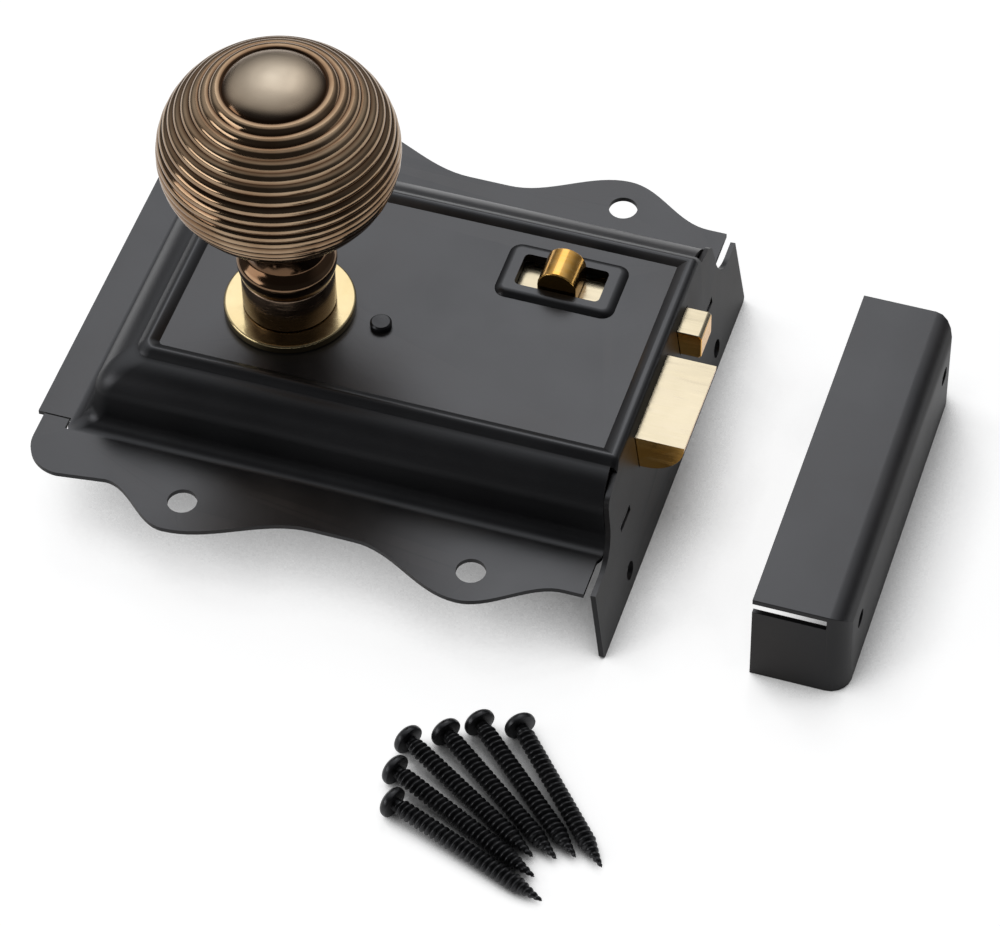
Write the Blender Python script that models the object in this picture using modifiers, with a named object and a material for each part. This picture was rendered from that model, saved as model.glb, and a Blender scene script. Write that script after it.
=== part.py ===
"""Rim latch set: pressed steel latch case with a reeded knob, its box keep and six screws.

Metres, +Z up. The set lies as on a bench: the latch stands on the lower edge of its forend
and on the end of its spindle, with its door side down. In the latch frame x runs to the
forend, y along the forend and z out of the door, with z = 0 on the door's face.
"""
import math

import bmesh
import bpy
from mathutils import Matrix, Vector

MM = 0.001
GAP = 0.3 * MM

# Pressed case
SHEET = 1.2 * MM
CASE_LEFT = -126.8 * MM
CASE_HALF = 45.6 * MM
FOOT_RADIUS = 4.0 * MM
WALL_DRAFT = 0.5 * MM
WALL_CORNER = 4.5 * MM
SHOULDER_Z = 17.3 * MM
SHOULDER_DROP = 8.5 * MM
PANEL_Z = 17.6 * MM
BORDER = 17.1 * MM
BEAD_WIDTH = 4.6 * MM
BEAD_RISE = 1.1 * MM
CREST_X = -2.7 * MM
FOLD_RADIUS = 2.7 * MM
FOREND_SPLAY = math.radians(7.0)
FOREND_HALF = 57.0 * MM
FOREND_CORNER = 3.0 * MM
LIP = 20.0 * MM

# Flanges
STRIP_LEFT = -135.0 * MM
STRIP_HALF = 42.2 * MM
FLANGE_LEFT = -133.4 * MM
FLANGE_END_X = -0.5 * MM
FLANGE_BASE = 56.9 * MM
LOBE_RISE = 9.6 * MM
LOBE_X = (-27.0 * MM, -96.0 * MM)
VALLEY_X = (-5.0 * MM, -54.0 * MM, -64.0 * MM, -113.0 * MM)
HOLE_X = (-94.2 * MM, -26.2 * MM)
HOLE_Y = 57.8 * MM
FLANGE_HOLE_RADIUS = 3.1 * MM
FOREND_HOLE_Y = 35.1 * MM
FOREND_HOLE_Z = -14.5 * MM
FOREND_HOLE_RADIUS = 2.25 * MM

# Back plate and the post that its screw goes into
PLATE = 1.2 * MM
PLATE_INSET = 5.2 * MM
TAB_Y = (29.7 * MM, 36.1 * MM)
POST_X = -63.4 * MM
POST_RADIUS = 3.25 * MM
RIVET_HEAD_RADIUS = 2.5 * MM
RIVET_HEAD_RISE = 1.3 * MM

# Knob line: knob, post and latch share one line along the case
LINE_Y = -8.5 * MM
KNOB_X = -85.2 * MM
BALL_RADIUS = 27.0 * MM
BALL_HALF_HEIGHT = 22.5 * MM
BALL_Z = PANEL_Z + 50.4 * MM
CAP_RADIUS = 11.0 * MM
CAP_SINK = 0.7 * MM
CAP_RING = 4.0 * MM
REEDS = 20
REED_DEPTH = 0.45 * MM
COLLAR_RADIUS = 11.4 * MM
COLLAR_Z = PANEL_Z + 12.9 * MM
COLLAR_HEIGHT = 4.6 * MM
NECK_RADIUS = 9.0 * MM
SLEEVE_RADIUS = 10.7 * MM
SLEEVE_BORE = 6.4 * MM
ROSE_RADIUS = 15.1 * MM
ROSE_THICK = 2.0 * MM
BUSH_RADIUS = 9.9 * MM
SPINDLE = 7.4 * MM
SPINDLE_TOP = PANEL_Z + 40.0 * MM

# Follower and latch
JOURNAL_RADIUS = 7.6 * MM
HUB_RADIUS = 7.0 * MM
HORN_REACH = 11.5 * MM
HORN_TIP_RADIUS = 2.0 * MM
HORN_LEAN = math.radians(30.0)
BOLT_TOP = 14.0 * MM
LATCH_Y = (-20.6 * MM, 5.1 * MM)
LATCH_BOTTOM = 4.7 * MM
LATCH_THROW = 11.7 * MM
NOSE_RADIUS = 9.2 * MM
LATCH_REAR = -16.0 * MM
LATCH_STOP_X = -1.9 * MM
LATCH_STOP_STEP = 3.0 * MM
TAIL_Z = (7.85 * MM, 10.85 * MM)
TAIL_BAR_Y = (-28.2 * MM, -22.9 * MM)
TONGUE_Y = (-20.0 * MM, -13.2 * MM)
LUG_WIDTH = 6.0 * MM
PIN_RADIUS = 1.5 * MM
ROD_RADIUS = 1.25 * MM
ROD_Z = 9.35 * MM
SPRING_RADIUS = 2.7 * MM
SPRING_WIRE = 0.4 * MM
SPRING_TURNS = 12

# Night bolt and its thumb button
NIGHT_Y = (12.5 * MM, 20.6 * MM)
NIGHT_BOTTOM = 6.8 * MM
NIGHT_THROW = 6.1 * MM
NIGHT_HEAD_REAR = -11.0 * MM
NIGHT_SHANK_Z = (11.4 * MM, 15.7 * MM)
NIGHT_SHANK_LEFT = -46.0 * MM
SNIB_X = -28.4 * MM
SNIB_Y = 16.6 * MM
SLOT_LENGTH = 20.2 * MM
SLOT_WIDTH = 9.7 * MM
PAD_LENGTH = 27.4 * MM
PAD_WIDTH = 15.8 * MM
PAD_RISE = 1.2 * MM
PAD_CORNER = 3.0 * MM
BUTTON_WIDTH = 9.2 * MM
BUTTON_TOP = 24.2 * MM

# Keep
KEEP_SIZE = Vector((22.2 * MM, 94.4 * MM, 25.6 * MM))
KEEP_CORNER = Vector((36.2 * MM, -50.9 * MM))
KEEP_BEND = 5.0 * MM
KEEP_SLIT = 2.8 * MM
KEEP_HOLE_INSET = 10.0 * MM
KEEP_HOLE_Z = 15.5 * MM
KEEP_HOLE_RADIUS = 2.25 * MM

# Wood screws: underside of the head in the latch frame, in mm, and the heading of the point, in degrees
SCREW_LENGTH = 40.0 * MM
SCREW_HEAD_RADIUS = 3.6 * MM
SCREW_HEAD_HEIGHT = 2.6 * MM
SCREW_SHANK_RADIUS = 2.1 * MM
SCREW_POINT = 7.0 * MM
SCREW_TIP_RADIUS = 0.4 * MM
SCREW_TIP_HEIGHT = 0.3 * MM
SCREWS = (
    (-26.4, -110.9, -19.9),
    (-28.7, -102.5, -24.4),
    (-28.7, -93.9, -30.3),
    (-21.5, -89.6, -36.1),
    (-15.3, -85.0, -41.5),
    (-6.6, -83.2, -46.8),
)

# Where the latch frame lies in the set's own frame, whose origin is under its middle
SET_LEFT = STRIP_LEFT
SET_RIGHT = KEEP_CORNER.x + KEEP_SIZE.x
SET_FAR = FLANGE_BASE + LOBE_RISE
NEAR_HEADING = math.radians(SCREWS[0][2])
NEAR_REACH = (SCREW_LENGTH - SCREW_TIP_HEIGHT) * math.sin(NEAR_HEADING)
SET_NEAR = SCREWS[0][1] * MM + NEAR_REACH - SCREW_TIP_RADIUS * math.cos(NEAR_HEADING)
LATCH_ORIGIN = Vector((-(SET_LEFT + SET_RIGHT) / 2, -(SET_NEAR + SET_FAR) / 2, LIP))

PARTS = "rim_latch_set"
CUTTERS = "rim_latch_set_cutters"


def forend_x(z):
    """Outer face of the forend, which leans out below the fold."""
    top = PANEL_Z + BEAD_RISE - FOLD_RADIUS
    return CREST_X + FOLD_RADIUS * math.cos(FOREND_SPLAY) + (top - z) * math.tan(FOREND_SPLAY)


def arc(cx, cy, radius, start, end, steps):
    """Points on an arc, angles in degrees."""
    points = []
    for i in range(steps + 1):
        a = math.radians(start + (end - start) * i / steps)
        points.append((cx + radius * math.cos(a), cy + radius * math.sin(a)))
    return points


def rounded_rectangle(cx, cy, length, width, radius, steps=3):
    half_x = length / 2 - radius
    half_y = width / 2 - radius
    points = []
    for sx, sy, start in ((1, 1, 0), (-1, 1, 90), (-1, -1, 180), (1, -1, 270)):
        points += arc(cx + sx * half_x, cy + sy * half_y, radius, start, start + 90, steps)
    return points


def make_material(name, colour, roughness, metallic):
    mat = bpy.data.materials.new(name)
    mat.use_nodes = True
    shader = mat.node_tree.nodes["Principled BSDF"]
    shader.inputs["Base Color"].default_value = (*colour, 1.0)
    shader.inputs["Roughness"].default_value = roughness
    shader.inputs["Metallic"].default_value = metallic
    mat.diffuse_color = (*colour, 1.0)
    return mat


class Kit:
    """Collections, materials and frames that the sub-parts share."""

    def __init__(self):
        for obj in list(bpy.data.objects):
            bpy.data.objects.remove(obj, do_unlink=True)
        self.parts = bpy.data.collections.new(PARTS)
        self.cutters = bpy.data.collections.new(CUTTERS)
        bpy.context.scene.collection.children.link(self.parts)
        bpy.context.scene.collection.children.link(self.cutters)
        self.black = make_material("black_steel", (0.018, 0.018, 0.020), 0.42, 0.0)
        self.aged = make_material("aged_brass", (0.230, 0.150, 0.080), 0.32, 1.0)
        self.brass = make_material("polished_brass", (0.800, 0.600, 0.270), 0.16, 1.0)
        self.steel = make_material("plain_steel", (0.450, 0.450, 0.460), 0.35, 1.0)
        self.latch = self.empty("latch_frame", LATCH_ORIGIN)
        self.knob = self.empty("knob_axis", (KNOB_X, LINE_Y, 0.0), self.latch)
        keep_floor = (KEEP_CORNER.x, KEEP_CORNER.y, -LIP)
        self.keep = self.empty("keep_frame", keep_floor, self.latch)

    def empty(self, name, location, parent=None):
        frame = bpy.data.objects.new(name, None)
        frame.empty_display_size = 10 * MM
        frame.location = location
        frame.parent = parent
        self.parts.objects.link(frame)
        bpy.context.view_layer.update()
        return frame

    def add(self, name, mesh, material, parent, smooth=30.0):
        obj = bpy.data.objects.new(name, mesh)
        mesh.materials.clear()
        mesh.materials.append(material)
        obj.parent = parent
        self.parts.objects.link(obj)
        mesh.shade_smooth()
        mesh.set_sharp_from_angle(angle=math.radians(smooth))
        return obj

    def cutter(self, mesh, parent):
        obj = bpy.data.objects.new("cutter", mesh)
        obj.parent = parent
        obj.hide_render = True
        obj.display_type = 'WIRE'
        self.cutters.objects.link(obj)
        return obj

    def boolean(self, obj, mesh, operation='DIFFERENCE'):
        mod = obj.modifiers.new(operation.lower(), 'BOOLEAN')
        mod.operation = operation
        mod.solver = 'EXACT'
        mod.object = self.cutter(mesh, obj.parent)


def finish_mesh(name, bm):
    mesh = bpy.data.meshes.new(name)
    bmesh.ops.recalc_face_normals(bm, faces=bm.faces)
    bm.to_mesh(mesh)
    bm.free()
    return mesh


def box_mesh(low, high, bevel=0.0, segments=2):
    bm = bmesh.new()
    bmesh.ops.create_cube(bm, size=1.0)
    low = Vector(low)
    high = Vector(high)
    bmesh.ops.scale(bm, vec=high - low, verts=bm.verts)
    bmesh.ops.translate(bm, vec=(low + high) / 2, verts=bm.verts)
    if bevel:
        bmesh.ops.bevel(bm, geom=bm.edges[:], offset=bevel, segments=segments, profile=0.5, affect='EDGES')
    return finish_mesh("box", bm)


def cylinder_mesh(centre, radius, length, axis='Z', sides=24):
    bm = bmesh.new()
    bmesh.ops.create_cone(bm, cap_ends=True, segments=sides, radius1=radius, radius2=radius, depth=length)
    turn = {'X': Matrix.Rotation(math.pi / 2, 4, 'Y'), 'Y': Matrix.Rotation(math.pi / 2, 4, 'X')}
    bmesh.ops.transform(bm, matrix=turn.get(axis, Matrix.Identity(4)), verts=bm.verts)
    bmesh.ops.translate(bm, vec=Vector(centre), verts=bm.verts)
    return finish_mesh("cylinder", bm)


def mesh_from(obj, weld=1e-6):
    """Mesh of an evaluated helper object, its caps welded, in the helper's parent frame."""
    bpy.context.view_layer.update()
    depsgraph = bpy.context.evaluated_depsgraph_get()
    mesh = bpy.data.meshes.new_from_object(obj.evaluated_get(depsgraph))
    bm = bmesh.new()
    bm.from_mesh(mesh)
    bmesh.ops.transform(bm, matrix=obj.matrix_world, verts=bm.verts)
    bmesh.ops.remove_doubles(bm, verts=bm.verts, dist=weld)
    bpy.data.meshes.remove(mesh)
    bpy.data.objects.remove(obj, do_unlink=True)
    return finish_mesh("solid", bm)


def extruded(loops, low, high, plane='XY'):
    """Flat outline (and its holes) extruded from low to high along the third axis."""
    curve = bpy.data.curves.new("outline", 'CURVE')
    curve.dimensions = '2D'
    curve.fill_mode = 'BOTH'
    curve.extrude = (high - low) / 2
    for loop in loops:
        spline = curve.splines.new('POLY')
        spline.points.add(len(loop) - 1)
        for point, (u, v) in zip(spline.points, loop):
            point.co = (u, v, 0.0, 1.0)
        spline.use_cyclic_u = True
    obj = bpy.data.objects.new("outline", curve)
    middle = (low + high) / 2
    if plane == 'XY':
        obj.location = (0.0, 0.0, middle)
    elif plane == 'XZ':
        obj.rotation_euler = (math.pi / 2, 0.0, 0.0)
        obj.location = (0.0, middle, 0.0)
    else:
        obj.rotation_euler = (math.pi / 2, 0.0, math.pi / 2)
        obj.location = (middle, 0.0, 0.0)
    bpy.context.scene.collection.objects.link(obj)
    return mesh_from(obj)


def turned(profile, steps=32):
    """Solid of revolution about z from (radius, z) points that run down the outer side."""
    bm = bmesh.new()
    verts = [bm.verts.new((r, 0.0, z)) for r, z in profile]
    for a, b in zip(verts, verts[1:]):
        bm.edges.new((a, b))
    if profile[-1][0] > 0.0:
        bm.edges.new((verts[-1], verts[0]))
    mesh = bpy.data.meshes.new("profile")
    bm.to_mesh(mesh)
    bm.free()
    obj = bpy.data.objects.new("profile", mesh)
    screw = obj.modifiers.new("turn", 'SCREW')
    screw.steps = steps
    screw.render_steps = steps
    screw.use_merge_vertices = True
    screw.merge_threshold = 0.00001
    bpy.context.scene.collection.objects.link(obj)
    return mesh_from(obj)


def case_section():
    """(inset, z, corner radius) from the flange over wall, shoulder and bead to the panel."""
    section = []
    for i in range(5):
        a = math.radians(90 * i / 4)
        radius = 1.0 * MM + (WALL_CORNER - 1.0 * MM) * i / 4
        section.append((FOOT_RADIUS * math.sin(a), SHEET + FOOT_RADIUS * (1 - math.cos(a)), radius))
    wall_top = FOOT_RADIUS + WALL_DRAFT
    width = BORDER - BEAD_WIDTH - wall_top
    for i in range(6):
        a = math.radians(90 * i / 6)
        inset = wall_top + width * (1 - math.cos(a))
        section.append((inset, SHOULDER_Z - SHOULDER_DROP * (1 - math.sin(a)), WALL_CORNER))
    for i in range(7):
        share = i / 6
        base = SHOULDER_Z + (PANEL_Z - SHOULDER_Z) * share
        rise = BEAD_RISE * math.sin(math.pi * share)
        section.append((BORDER - BEAD_WIDTH * (1 - share), base + rise, (3.6 - 2.6 * share) * MM))
    return section


def ring_corners(inset, radius):
    """Plan of the case at one inset: rounded left corners, square ones on the right."""
    left = CASE_LEFT + inset
    right = CREST_X + BORDER - BEAD_WIDTH / 2 - inset
    half = CASE_HALF - inset
    points = [(right, -half), (right, half)]
    points += arc(left + radius, half - radius, radius, 90, 180, 3)
    points += arc(left + radius, radius - half, radius, 180, 270, 3)
    return points


def flange_edge():
    """Outer edge of the near flange from the forend to the left corner: two lobes round the holes."""
    points = [(FLANGE_END_X, -FLANGE_BASE)]
    flanks = (
        (VALLEY_X[0], LOBE_X[0], 0.0), (LOBE_X[0], VALLEY_X[1], LOBE_RISE),
        (VALLEY_X[2], LOBE_X[1], 0.0), (LOBE_X[1], VALLEY_X[3], LOBE_RISE))
    for start, end, height in flanks:
        steps = 7
        for i in range(steps if height == 0.0 else steps + 1):
            share = (1 - math.cos(math.pi * i / steps)) / 2
            rise = height + (LOBE_RISE - 2 * height) * share
            points.append((start + (end - start) * i / steps, -FLANGE_BASE - rise))
    corner = 9.0 * MM
    points += arc(FLANGE_LEFT + corner, -FLANGE_BASE - 1.5 * MM + corner, corner, 270, 180, 8)
    return points


def forend_outline():
    """Far half of the forend below the fold, as (y, z) from the shoulder to the lower corner."""
    wall = CASE_HALF - FOOT_RADIUS
    flare = 9.0 * MM
    side = CASE_HALF - FOOT_RADIUS - WALL_DRAFT - FOREND_CORNER
    points = arc(side, SHOULDER_Z - 5.8 * MM, FOREND_CORNER, 90, 0, 4)[1:]
    points.append((wall, flare))
    for y, z in arc(wall + flare, flare, flare, 180, 270, 5)[1:]:
        points.append((y, z))
    points.append((FOREND_HALF - 1.2 * MM, 0.0))
    corner = 1.0 * MM
    foot = SHEET * math.sin(FOREND_SPLAY) - LIP
    points += arc(FOREND_HALF - corner, foot + corner, corner, 0, -90, 2)
    return points


def case_surface():
    """Outer skin of the pressing as one open sheet: front, three walls, flanges and forend."""
    bm = bmesh.new()
    rings = []
    for inset, z, radius in case_section():
        rings.append([bm.verts.new((x, y, z)) for x, y in ring_corners(inset, radius)])
    count = len(rings[0])
    for low, high in zip(rings, rings[1:]):
        for i in range(count):
            bm.faces.new((low[i], low[(i + 1) % count], high[(i + 1) % count], high[i]))
    bm.faces.new(rings[-1])
    base_left = rings[0][2:]
    geometry = bm.verts[:] + bm.edges[:] + bm.faces[:]
    bmesh.ops.bisect_plane(
        bm, geom=geometry, dist=1e-6, plane_co=(CREST_X, 0, 0), plane_no=(1, 0, 0), clear_outer=True)
    wall_feet = carry_walls(bm)
    fold_and_forend(bm)
    add_flanges(bm, base_left, wall_feet)
    bmesh.ops.recalc_face_normals(bm, faces=bm.faces)
    bm.normal_update()
    panel = max(bm.faces, key=lambda f: f.calc_area() * (f.calc_center_median().z > SHOULDER_Z))
    if panel.normal.z < 0:
        bmesh.ops.reverse_faces(bm, faces=bm.faces)
    mesh = bpy.data.meshes.new("case")
    bm.to_mesh(mesh)
    bm.free()
    return mesh


def carry_walls(bm):
    """Carries the near and far walls on to the back of the forend; gives their new feet."""
    edges = [e for e in bm.edges if e.is_boundary and all(
        abs(v.co.x - CREST_X) < 1e-6 and v.co.z < SHOULDER_Z + 1e-6 for v in e.verts)]
    grown = bmesh.ops.extrude_edge_only(bm, edges=edges)["geom"]
    verts = [g for g in grown if isinstance(g, bmesh.types.BMVert)]
    for v in verts:
        v.co.x = forend_x(v.co.z) - SHEET - GAP
    feet = [v for v in verts if v.co.z < SHEET + 1e-6]
    return min(feet, key=lambda v: v.co.y), max(feet, key=lambda v: v.co.y)


def fold_and_forend(bm):
    """Folds the front's right edge over and carries it down as the forend."""
    edge = [e for e in bm.edges if e.is_boundary and all(
        abs(v.co.x - CREST_X) < 1e-6 and v.co.z > SHOULDER_Z - 1e-6 for v in e.verts)]
    start = {v: v.co.copy() for e in edge for v in e.verts}
    steps = 4
    for i in range(steps):
        a = (math.pi / 2 - FOREND_SPLAY) * (i + 1) / steps
        grown = bmesh.ops.extrude_edge_only(bm, edges=edge)["geom"]
        edge = [g for g in grown if isinstance(g, bmesh.types.BMEdge)]
        new_verts = [g for g in grown if isinstance(g, bmesh.types.BMVert)]
        moved = {}
        for v in new_verts:
            origin = min(start.values(), key=lambda co: abs(co.y - v.co.y))
            z = origin.z - FOLD_RADIUS * (1 - math.cos(a))
            x = CREST_X + FOLD_RADIUS * math.sin(a)
            v.co = Vector((forend_x(z) if i == steps - 1 else x, origin.y, z))
            moved[v] = origin
        start = moved
        edge = [e for e in bm.edges if all(v in moved for v in e.verts)]
    top = sorted(start, key=lambda v: v.co.y)
    far = [bm.verts.new((forend_x(z), y, z)) for y, z in forend_outline()]
    near = [bm.verts.new((forend_x(z), -y, z)) for y, z in reversed(forend_outline())]
    bm.faces.new(top + far + near)


def add_flanges(bm, base_left, wall_feet):
    """Scalloped near and far flanges and the straight left strip round the walls' foot."""
    far_side, far_end, near_end, near_side = base_left[0], base_left[3], base_left[4], base_left[7]
    cut_feet = [v for v in bm.verts if abs(v.co.x - CREST_X) < 1e-6 and abs(v.co.z - SHEET) < 1e-6]
    near_cut = min(cut_feet, key=lambda v: v.co.y)
    far_cut = max(cut_feet, key=lambda v: v.co.y)
    slit = 0.4 * MM
    near = (1, near_side, near_cut, wall_feet[0])
    far = (-1, far_side, far_cut, wall_feet[1])
    for sign, left, cut, foot in (near, far):
        outline = [(FLANGE_END_X, -CASE_HALF - 1.5 * MM)] + flange_edge()
        outline.append((FLANGE_LEFT, -STRIP_HALF - slit))
        outline.append((CASE_LEFT - 0.5 * MM, -STRIP_HALF - slit))
        outline.append((CASE_LEFT - 0.5 * MM, -CASE_HALF + 0.3 * MM))
        verts = [bm.verts.new((x, sign * y, SHEET)) for x, y in outline]
        bm.faces.new([cut, foot] + verts + [left])
    inner = CASE_LEFT - 0.2 * MM
    corners = ((inner, STRIP_HALF), (STRIP_LEFT, STRIP_HALF), (STRIP_LEFT, -STRIP_HALF), (inner, -STRIP_HALF))
    strip = [bm.verts.new((x, y, SHEET)) for x, y in corners]
    bm.faces.new([far_end] + strip + [near_end])


def pad_mesh():
    """Raised pad with rounded corners and edges round the thumb slot."""
    bm = bmesh.new()
    levels = ((0.0, -0.6 * MM), (0.0, 0.4 * PAD_RISE), (0.3 * MM, 0.8 * PAD_RISE), (0.9 * MM, PAD_RISE))
    rings = []
    for inset, rise in levels:
        outline = rounded_rectangle(
            SNIB_X, SNIB_Y, PAD_LENGTH - 2 * inset, PAD_WIDTH - 2 * inset, PAD_CORNER - inset, 4)
        rings.append([bm.verts.new((x, y, PANEL_Z + rise)) for x, y in outline])
    count = len(rings[0])
    for low, high in zip(rings, rings[1:]):
        for i in range(count):
            j = (i + 1) % count
            bm.faces.new((low[i], low[j], high[j], high[i]))
    bm.faces.new(rings[-1])
    bm.faces.new(list(reversed(rings[0])))
    return finish_mesh("pad", bm)


def make_case(kit):
    case = kit.add("case", case_surface(), kit.black, kit.latch)
    skin = case.modifiers.new("sheet", 'SOLIDIFY')
    skin.thickness = SHEET
    skin.offset = -1.0
    skin.use_even_offset = True
    kit.boolean(case, pad_mesh(), 'UNION')
    slot = rounded_rectangle(SNIB_X, SNIB_Y, SLOT_LENGTH, SLOT_WIDTH, 1.2 * MM)
    kit.boolean(case, extruded([slot], PANEL_Z - 4 * MM, PANEL_Z + 4 * MM))
    kit.boolean(case, cylinder_mesh((KNOB_X, LINE_Y, PANEL_Z), BUSH_RADIUS + GAP, 10 * MM))
    kit.boolean(case, cylinder_mesh((POST_X, LINE_Y, PANEL_Z), 1.9 * MM, 10 * MM, sides=16))
    for x in HOLE_X:
        for y in (-HOLE_Y, HOLE_Y):
            kit.boolean(case, cylinder_mesh((x, y, 0.0), FLANGE_HOLE_RADIUS, 10 * MM, sides=20))
    for sign in (-1, 1):
        hole = (forend_x(FOREND_HOLE_Z), sign * FOREND_HOLE_Y, FOREND_HOLE_Z)
        kit.boolean(case, cylinder_mesh(hole, FOREND_HOLE_RADIUS, 12 * MM, 'X', 16))
        tab = sorted((sign * (TAB_Y[0] - GAP), sign * (TAB_Y[1] + GAP)))
        kit.boolean(case, box_mesh((-6 * MM, tab[0], -GAP), (8 * MM, tab[1], PLATE + GAP)))
    for (low, high), bottom in ((LATCH_Y, LATCH_BOTTOM), (NIGHT_Y, NIGHT_BOTTOM)):
        mouth = box_mesh((-8 * MM, low - GAP, bottom - GAP), (8 * MM, high + GAP, BOLT_TOP + GAP))
        kit.boolean(case, mouth)
    return case


def make_back_plate(kit):
    left = CASE_LEFT + PLATE_INSET
    half = CASE_HALF - PLATE_INSET
    edge = forend_x(PLATE) - SHEET - 2 * GAP
    tip = forend_x(PLATE) - GAP
    outline = [(left, -half), (edge, -half)]
    for low, high in ((-TAB_Y[1], -TAB_Y[0]), TAB_Y):
        outline += [(edge, low), (tip, low), (tip, high), (edge, high)]
    outline += [(edge, half), (left, half)]
    hub = arc(KNOB_X, LINE_Y, HUB_RADIUS - 0.5 * MM + GAP, 0, 345, 23)
    screw = arc(POST_X, LINE_Y, 2.4 * MM, 0, 345, 23)
    kit.add("back_plate", extruded([outline, hub, screw], 0.0, PLATE), kit.steel, kit.latch)
    shank = [(0.0, 6.6 * MM), (1.5 * MM, 6.6 * MM), (1.5 * MM, 1.3 * MM)]
    head = shank + [(2.1 * MM, 1.1 * MM), (2.1 * MM, 0.1 * MM), (0.0, 0.1 * MM)]
    place(kit.add("back_plate_screw", turned(head, 20), kit.steel, kit.latch), (POST_X, LINE_Y, 0.0))


def place(obj, location):
    obj.location = location
    return obj


def make_post(kit):
    under = PANEL_Z - SHEET - GAP
    head = PANEL_Z + GAP
    profile = [
        (0.0, head + RIVET_HEAD_RISE), (RIVET_HEAD_RADIUS - 0.4 * MM, head + RIVET_HEAD_RISE),
        (RIVET_HEAD_RADIUS, head + RIVET_HEAD_RISE - 0.4 * MM), (RIVET_HEAD_RADIUS, head), (1.6 * MM, head),
        (1.6 * MM, under), (POST_RADIUS, under), (POST_RADIUS, PLATE + GAP), (0.0, PLATE + GAP)]
    post = place(kit.add("case_post", turned(profile, 24), kit.black, kit.latch), (POST_X, LINE_Y, 0.0))
    bore = 7.0 * MM
    kit.boolean(post, cylinder_mesh((POST_X, LINE_Y, bore - 10 * MM), 1.8 * MM, 20 * MM, sides=16))
    kit.boolean(post, cylinder_mesh((POST_X, LINE_Y, ROD_Z), ROD_RADIUS + GAP, 12 * MM, 'X', 12))


def make_rose(kit):
    low = PANEL_Z + GAP
    high = low + ROSE_THICK
    bore = JOURNAL_RADIUS + GAP
    profile = [
        (bore, high), (ROSE_RADIUS - 1.0 * MM, high), (ROSE_RADIUS - 0.3 * MM, high - 0.3 * MM),
        (ROSE_RADIUS, high - 1.0 * MM), (ROSE_RADIUS, low), (BUSH_RADIUS, low),
        (BUSH_RADIUS, PANEL_Z - SHEET - 1.2 * MM), (bore, PANEL_Z - SHEET - 1.2 * MM)]
    place(kit.add("rose", turned(profile, 48), kit.brass, kit.latch), (KNOB_X, LINE_Y, 0.0))


def ball_point(angle, depth=0.0):
    """(radius, z) on the flattened ball at an angle from its top, sunk by depth along the normal."""
    across = math.sin(angle)
    up = math.cos(angle)
    normal = Vector((across / BALL_RADIUS, up / BALL_HALF_HEIGHT)).normalized()
    return (BALL_RADIUS * across - normal.x * depth, BALL_Z + BALL_HALF_HEIGHT * up - normal.y * depth)


def angle_after(start, length):
    """Angle reached by going a length down the ball's outline from another angle."""
    step = math.radians(0.1)
    angle = start
    last = Vector(ball_point(angle))
    while length > 0.0:
        angle += step
        point = Vector(ball_point(angle))
        length -= (point - last).length
        last = point
    return angle


def reeds(start, pitch, count, per_reed):
    """Convex reeds of one pitch down the ball, from the groove at the start angle."""
    points = []
    angle = start
    for _ in range(count):
        for i in range(per_reed):
            bulge = math.sin(math.pi * i / per_reed)
            points.append(ball_point(angle, REED_DEPTH * (1 - bulge)))
            angle = angle_after(angle, pitch / per_reed)
    return points, angle


def knob_profile():
    """Knob outline down its outer side: domed cap, ring, reeds, neck and collar, as (radius, z)."""
    cap_edge = math.asin(CAP_RADIUS / BALL_RADIUS)
    points = [ball_point(0.0)]
    for i in range(1, 6):
        points.append(ball_point(cap_edge * i / 6, CAP_SINK * (i / 6) ** 6))
    points.append(ball_point(cap_edge, CAP_SINK))
    ring, angle = reeds(cap_edge + 0.02, CAP_RING, 1, 4)
    under = math.pi - math.asin((NECK_RADIUS + 1.2 * MM) / BALL_RADIUS)
    run = 0.0
    while angle_after(angle, run) < under:
        run += 0.1 * MM
    body, angle = reeds(angle, run / REEDS, REEDS, 3)
    points += ring[1:] + body
    cove = 2.4 * MM
    rim = COLLAR_Z + COLLAR_HEIGHT
    points.append((NECK_RADIUS, BALL_Z - BALL_HALF_HEIGHT + 0.6 * MM))
    points += arc(NECK_RADIUS + cove, rim + cove, cove, 180, 250, 3)
    points.append((COLLAR_RADIUS - 0.3 * MM, rim - 0.2 * MM))
    swell = COLLAR_RADIUS - SLEEVE_RADIUS + 0.3 * MM
    for i in range(5):
        share = i / 4
        height = rim - 1.0 * MM - (COLLAR_HEIGHT - 1.0 * MM) * share
        points.append((COLLAR_RADIUS - swell * share ** 2, height))
    points.append((0.0, COLLAR_Z))
    return points


def make_knob(kit):
    collar_mid = COLLAR_Z + COLLAR_HEIGHT / 2
    knob = kit.add("knob", turned(knob_profile(), 36), kit.aged, kit.knob)
    half = SPINDLE / 2 + GAP
    kit.boolean(knob, box_mesh((-half, -half, 0.0), (half, half, SPINDLE_TOP + GAP)))
    kit.boolean(knob, cylinder_mesh((0.0, 10 * MM, collar_mid), 1.9 * MM, 16 * MM, 'Y', 16))
    low = PANEL_Z + ROSE_THICK + 2 * GAP
    high = COLLAR_Z - GAP
    chamfer = 0.4 * MM
    sleeve = [
        (SLEEVE_BORE, high), (SLEEVE_RADIUS - chamfer, high), (SLEEVE_RADIUS, high - chamfer),
        (SLEEVE_RADIUS, low), (SLEEVE_BORE, low)]
    kit.add("neck_sleeve", turned(sleeve, 40), kit.aged, kit.knob)
    half = SPINDLE / 2
    bar = box_mesh((-half, -half, -LIP), (half, half, SPINDLE_TOP), 0.5 * MM, 1)
    kit.add("spindle", bar, kit.steel, kit.knob)
    tip = SPINDLE / 2 + 2 * GAP
    grub = cylinder_mesh((0.0, tip + 2.6 * MM, collar_mid), 1.6 * MM, 5.2 * MM, 'Y', 16)
    kit.add("grub_screw", grub, kit.steel, kit.knob)


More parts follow.
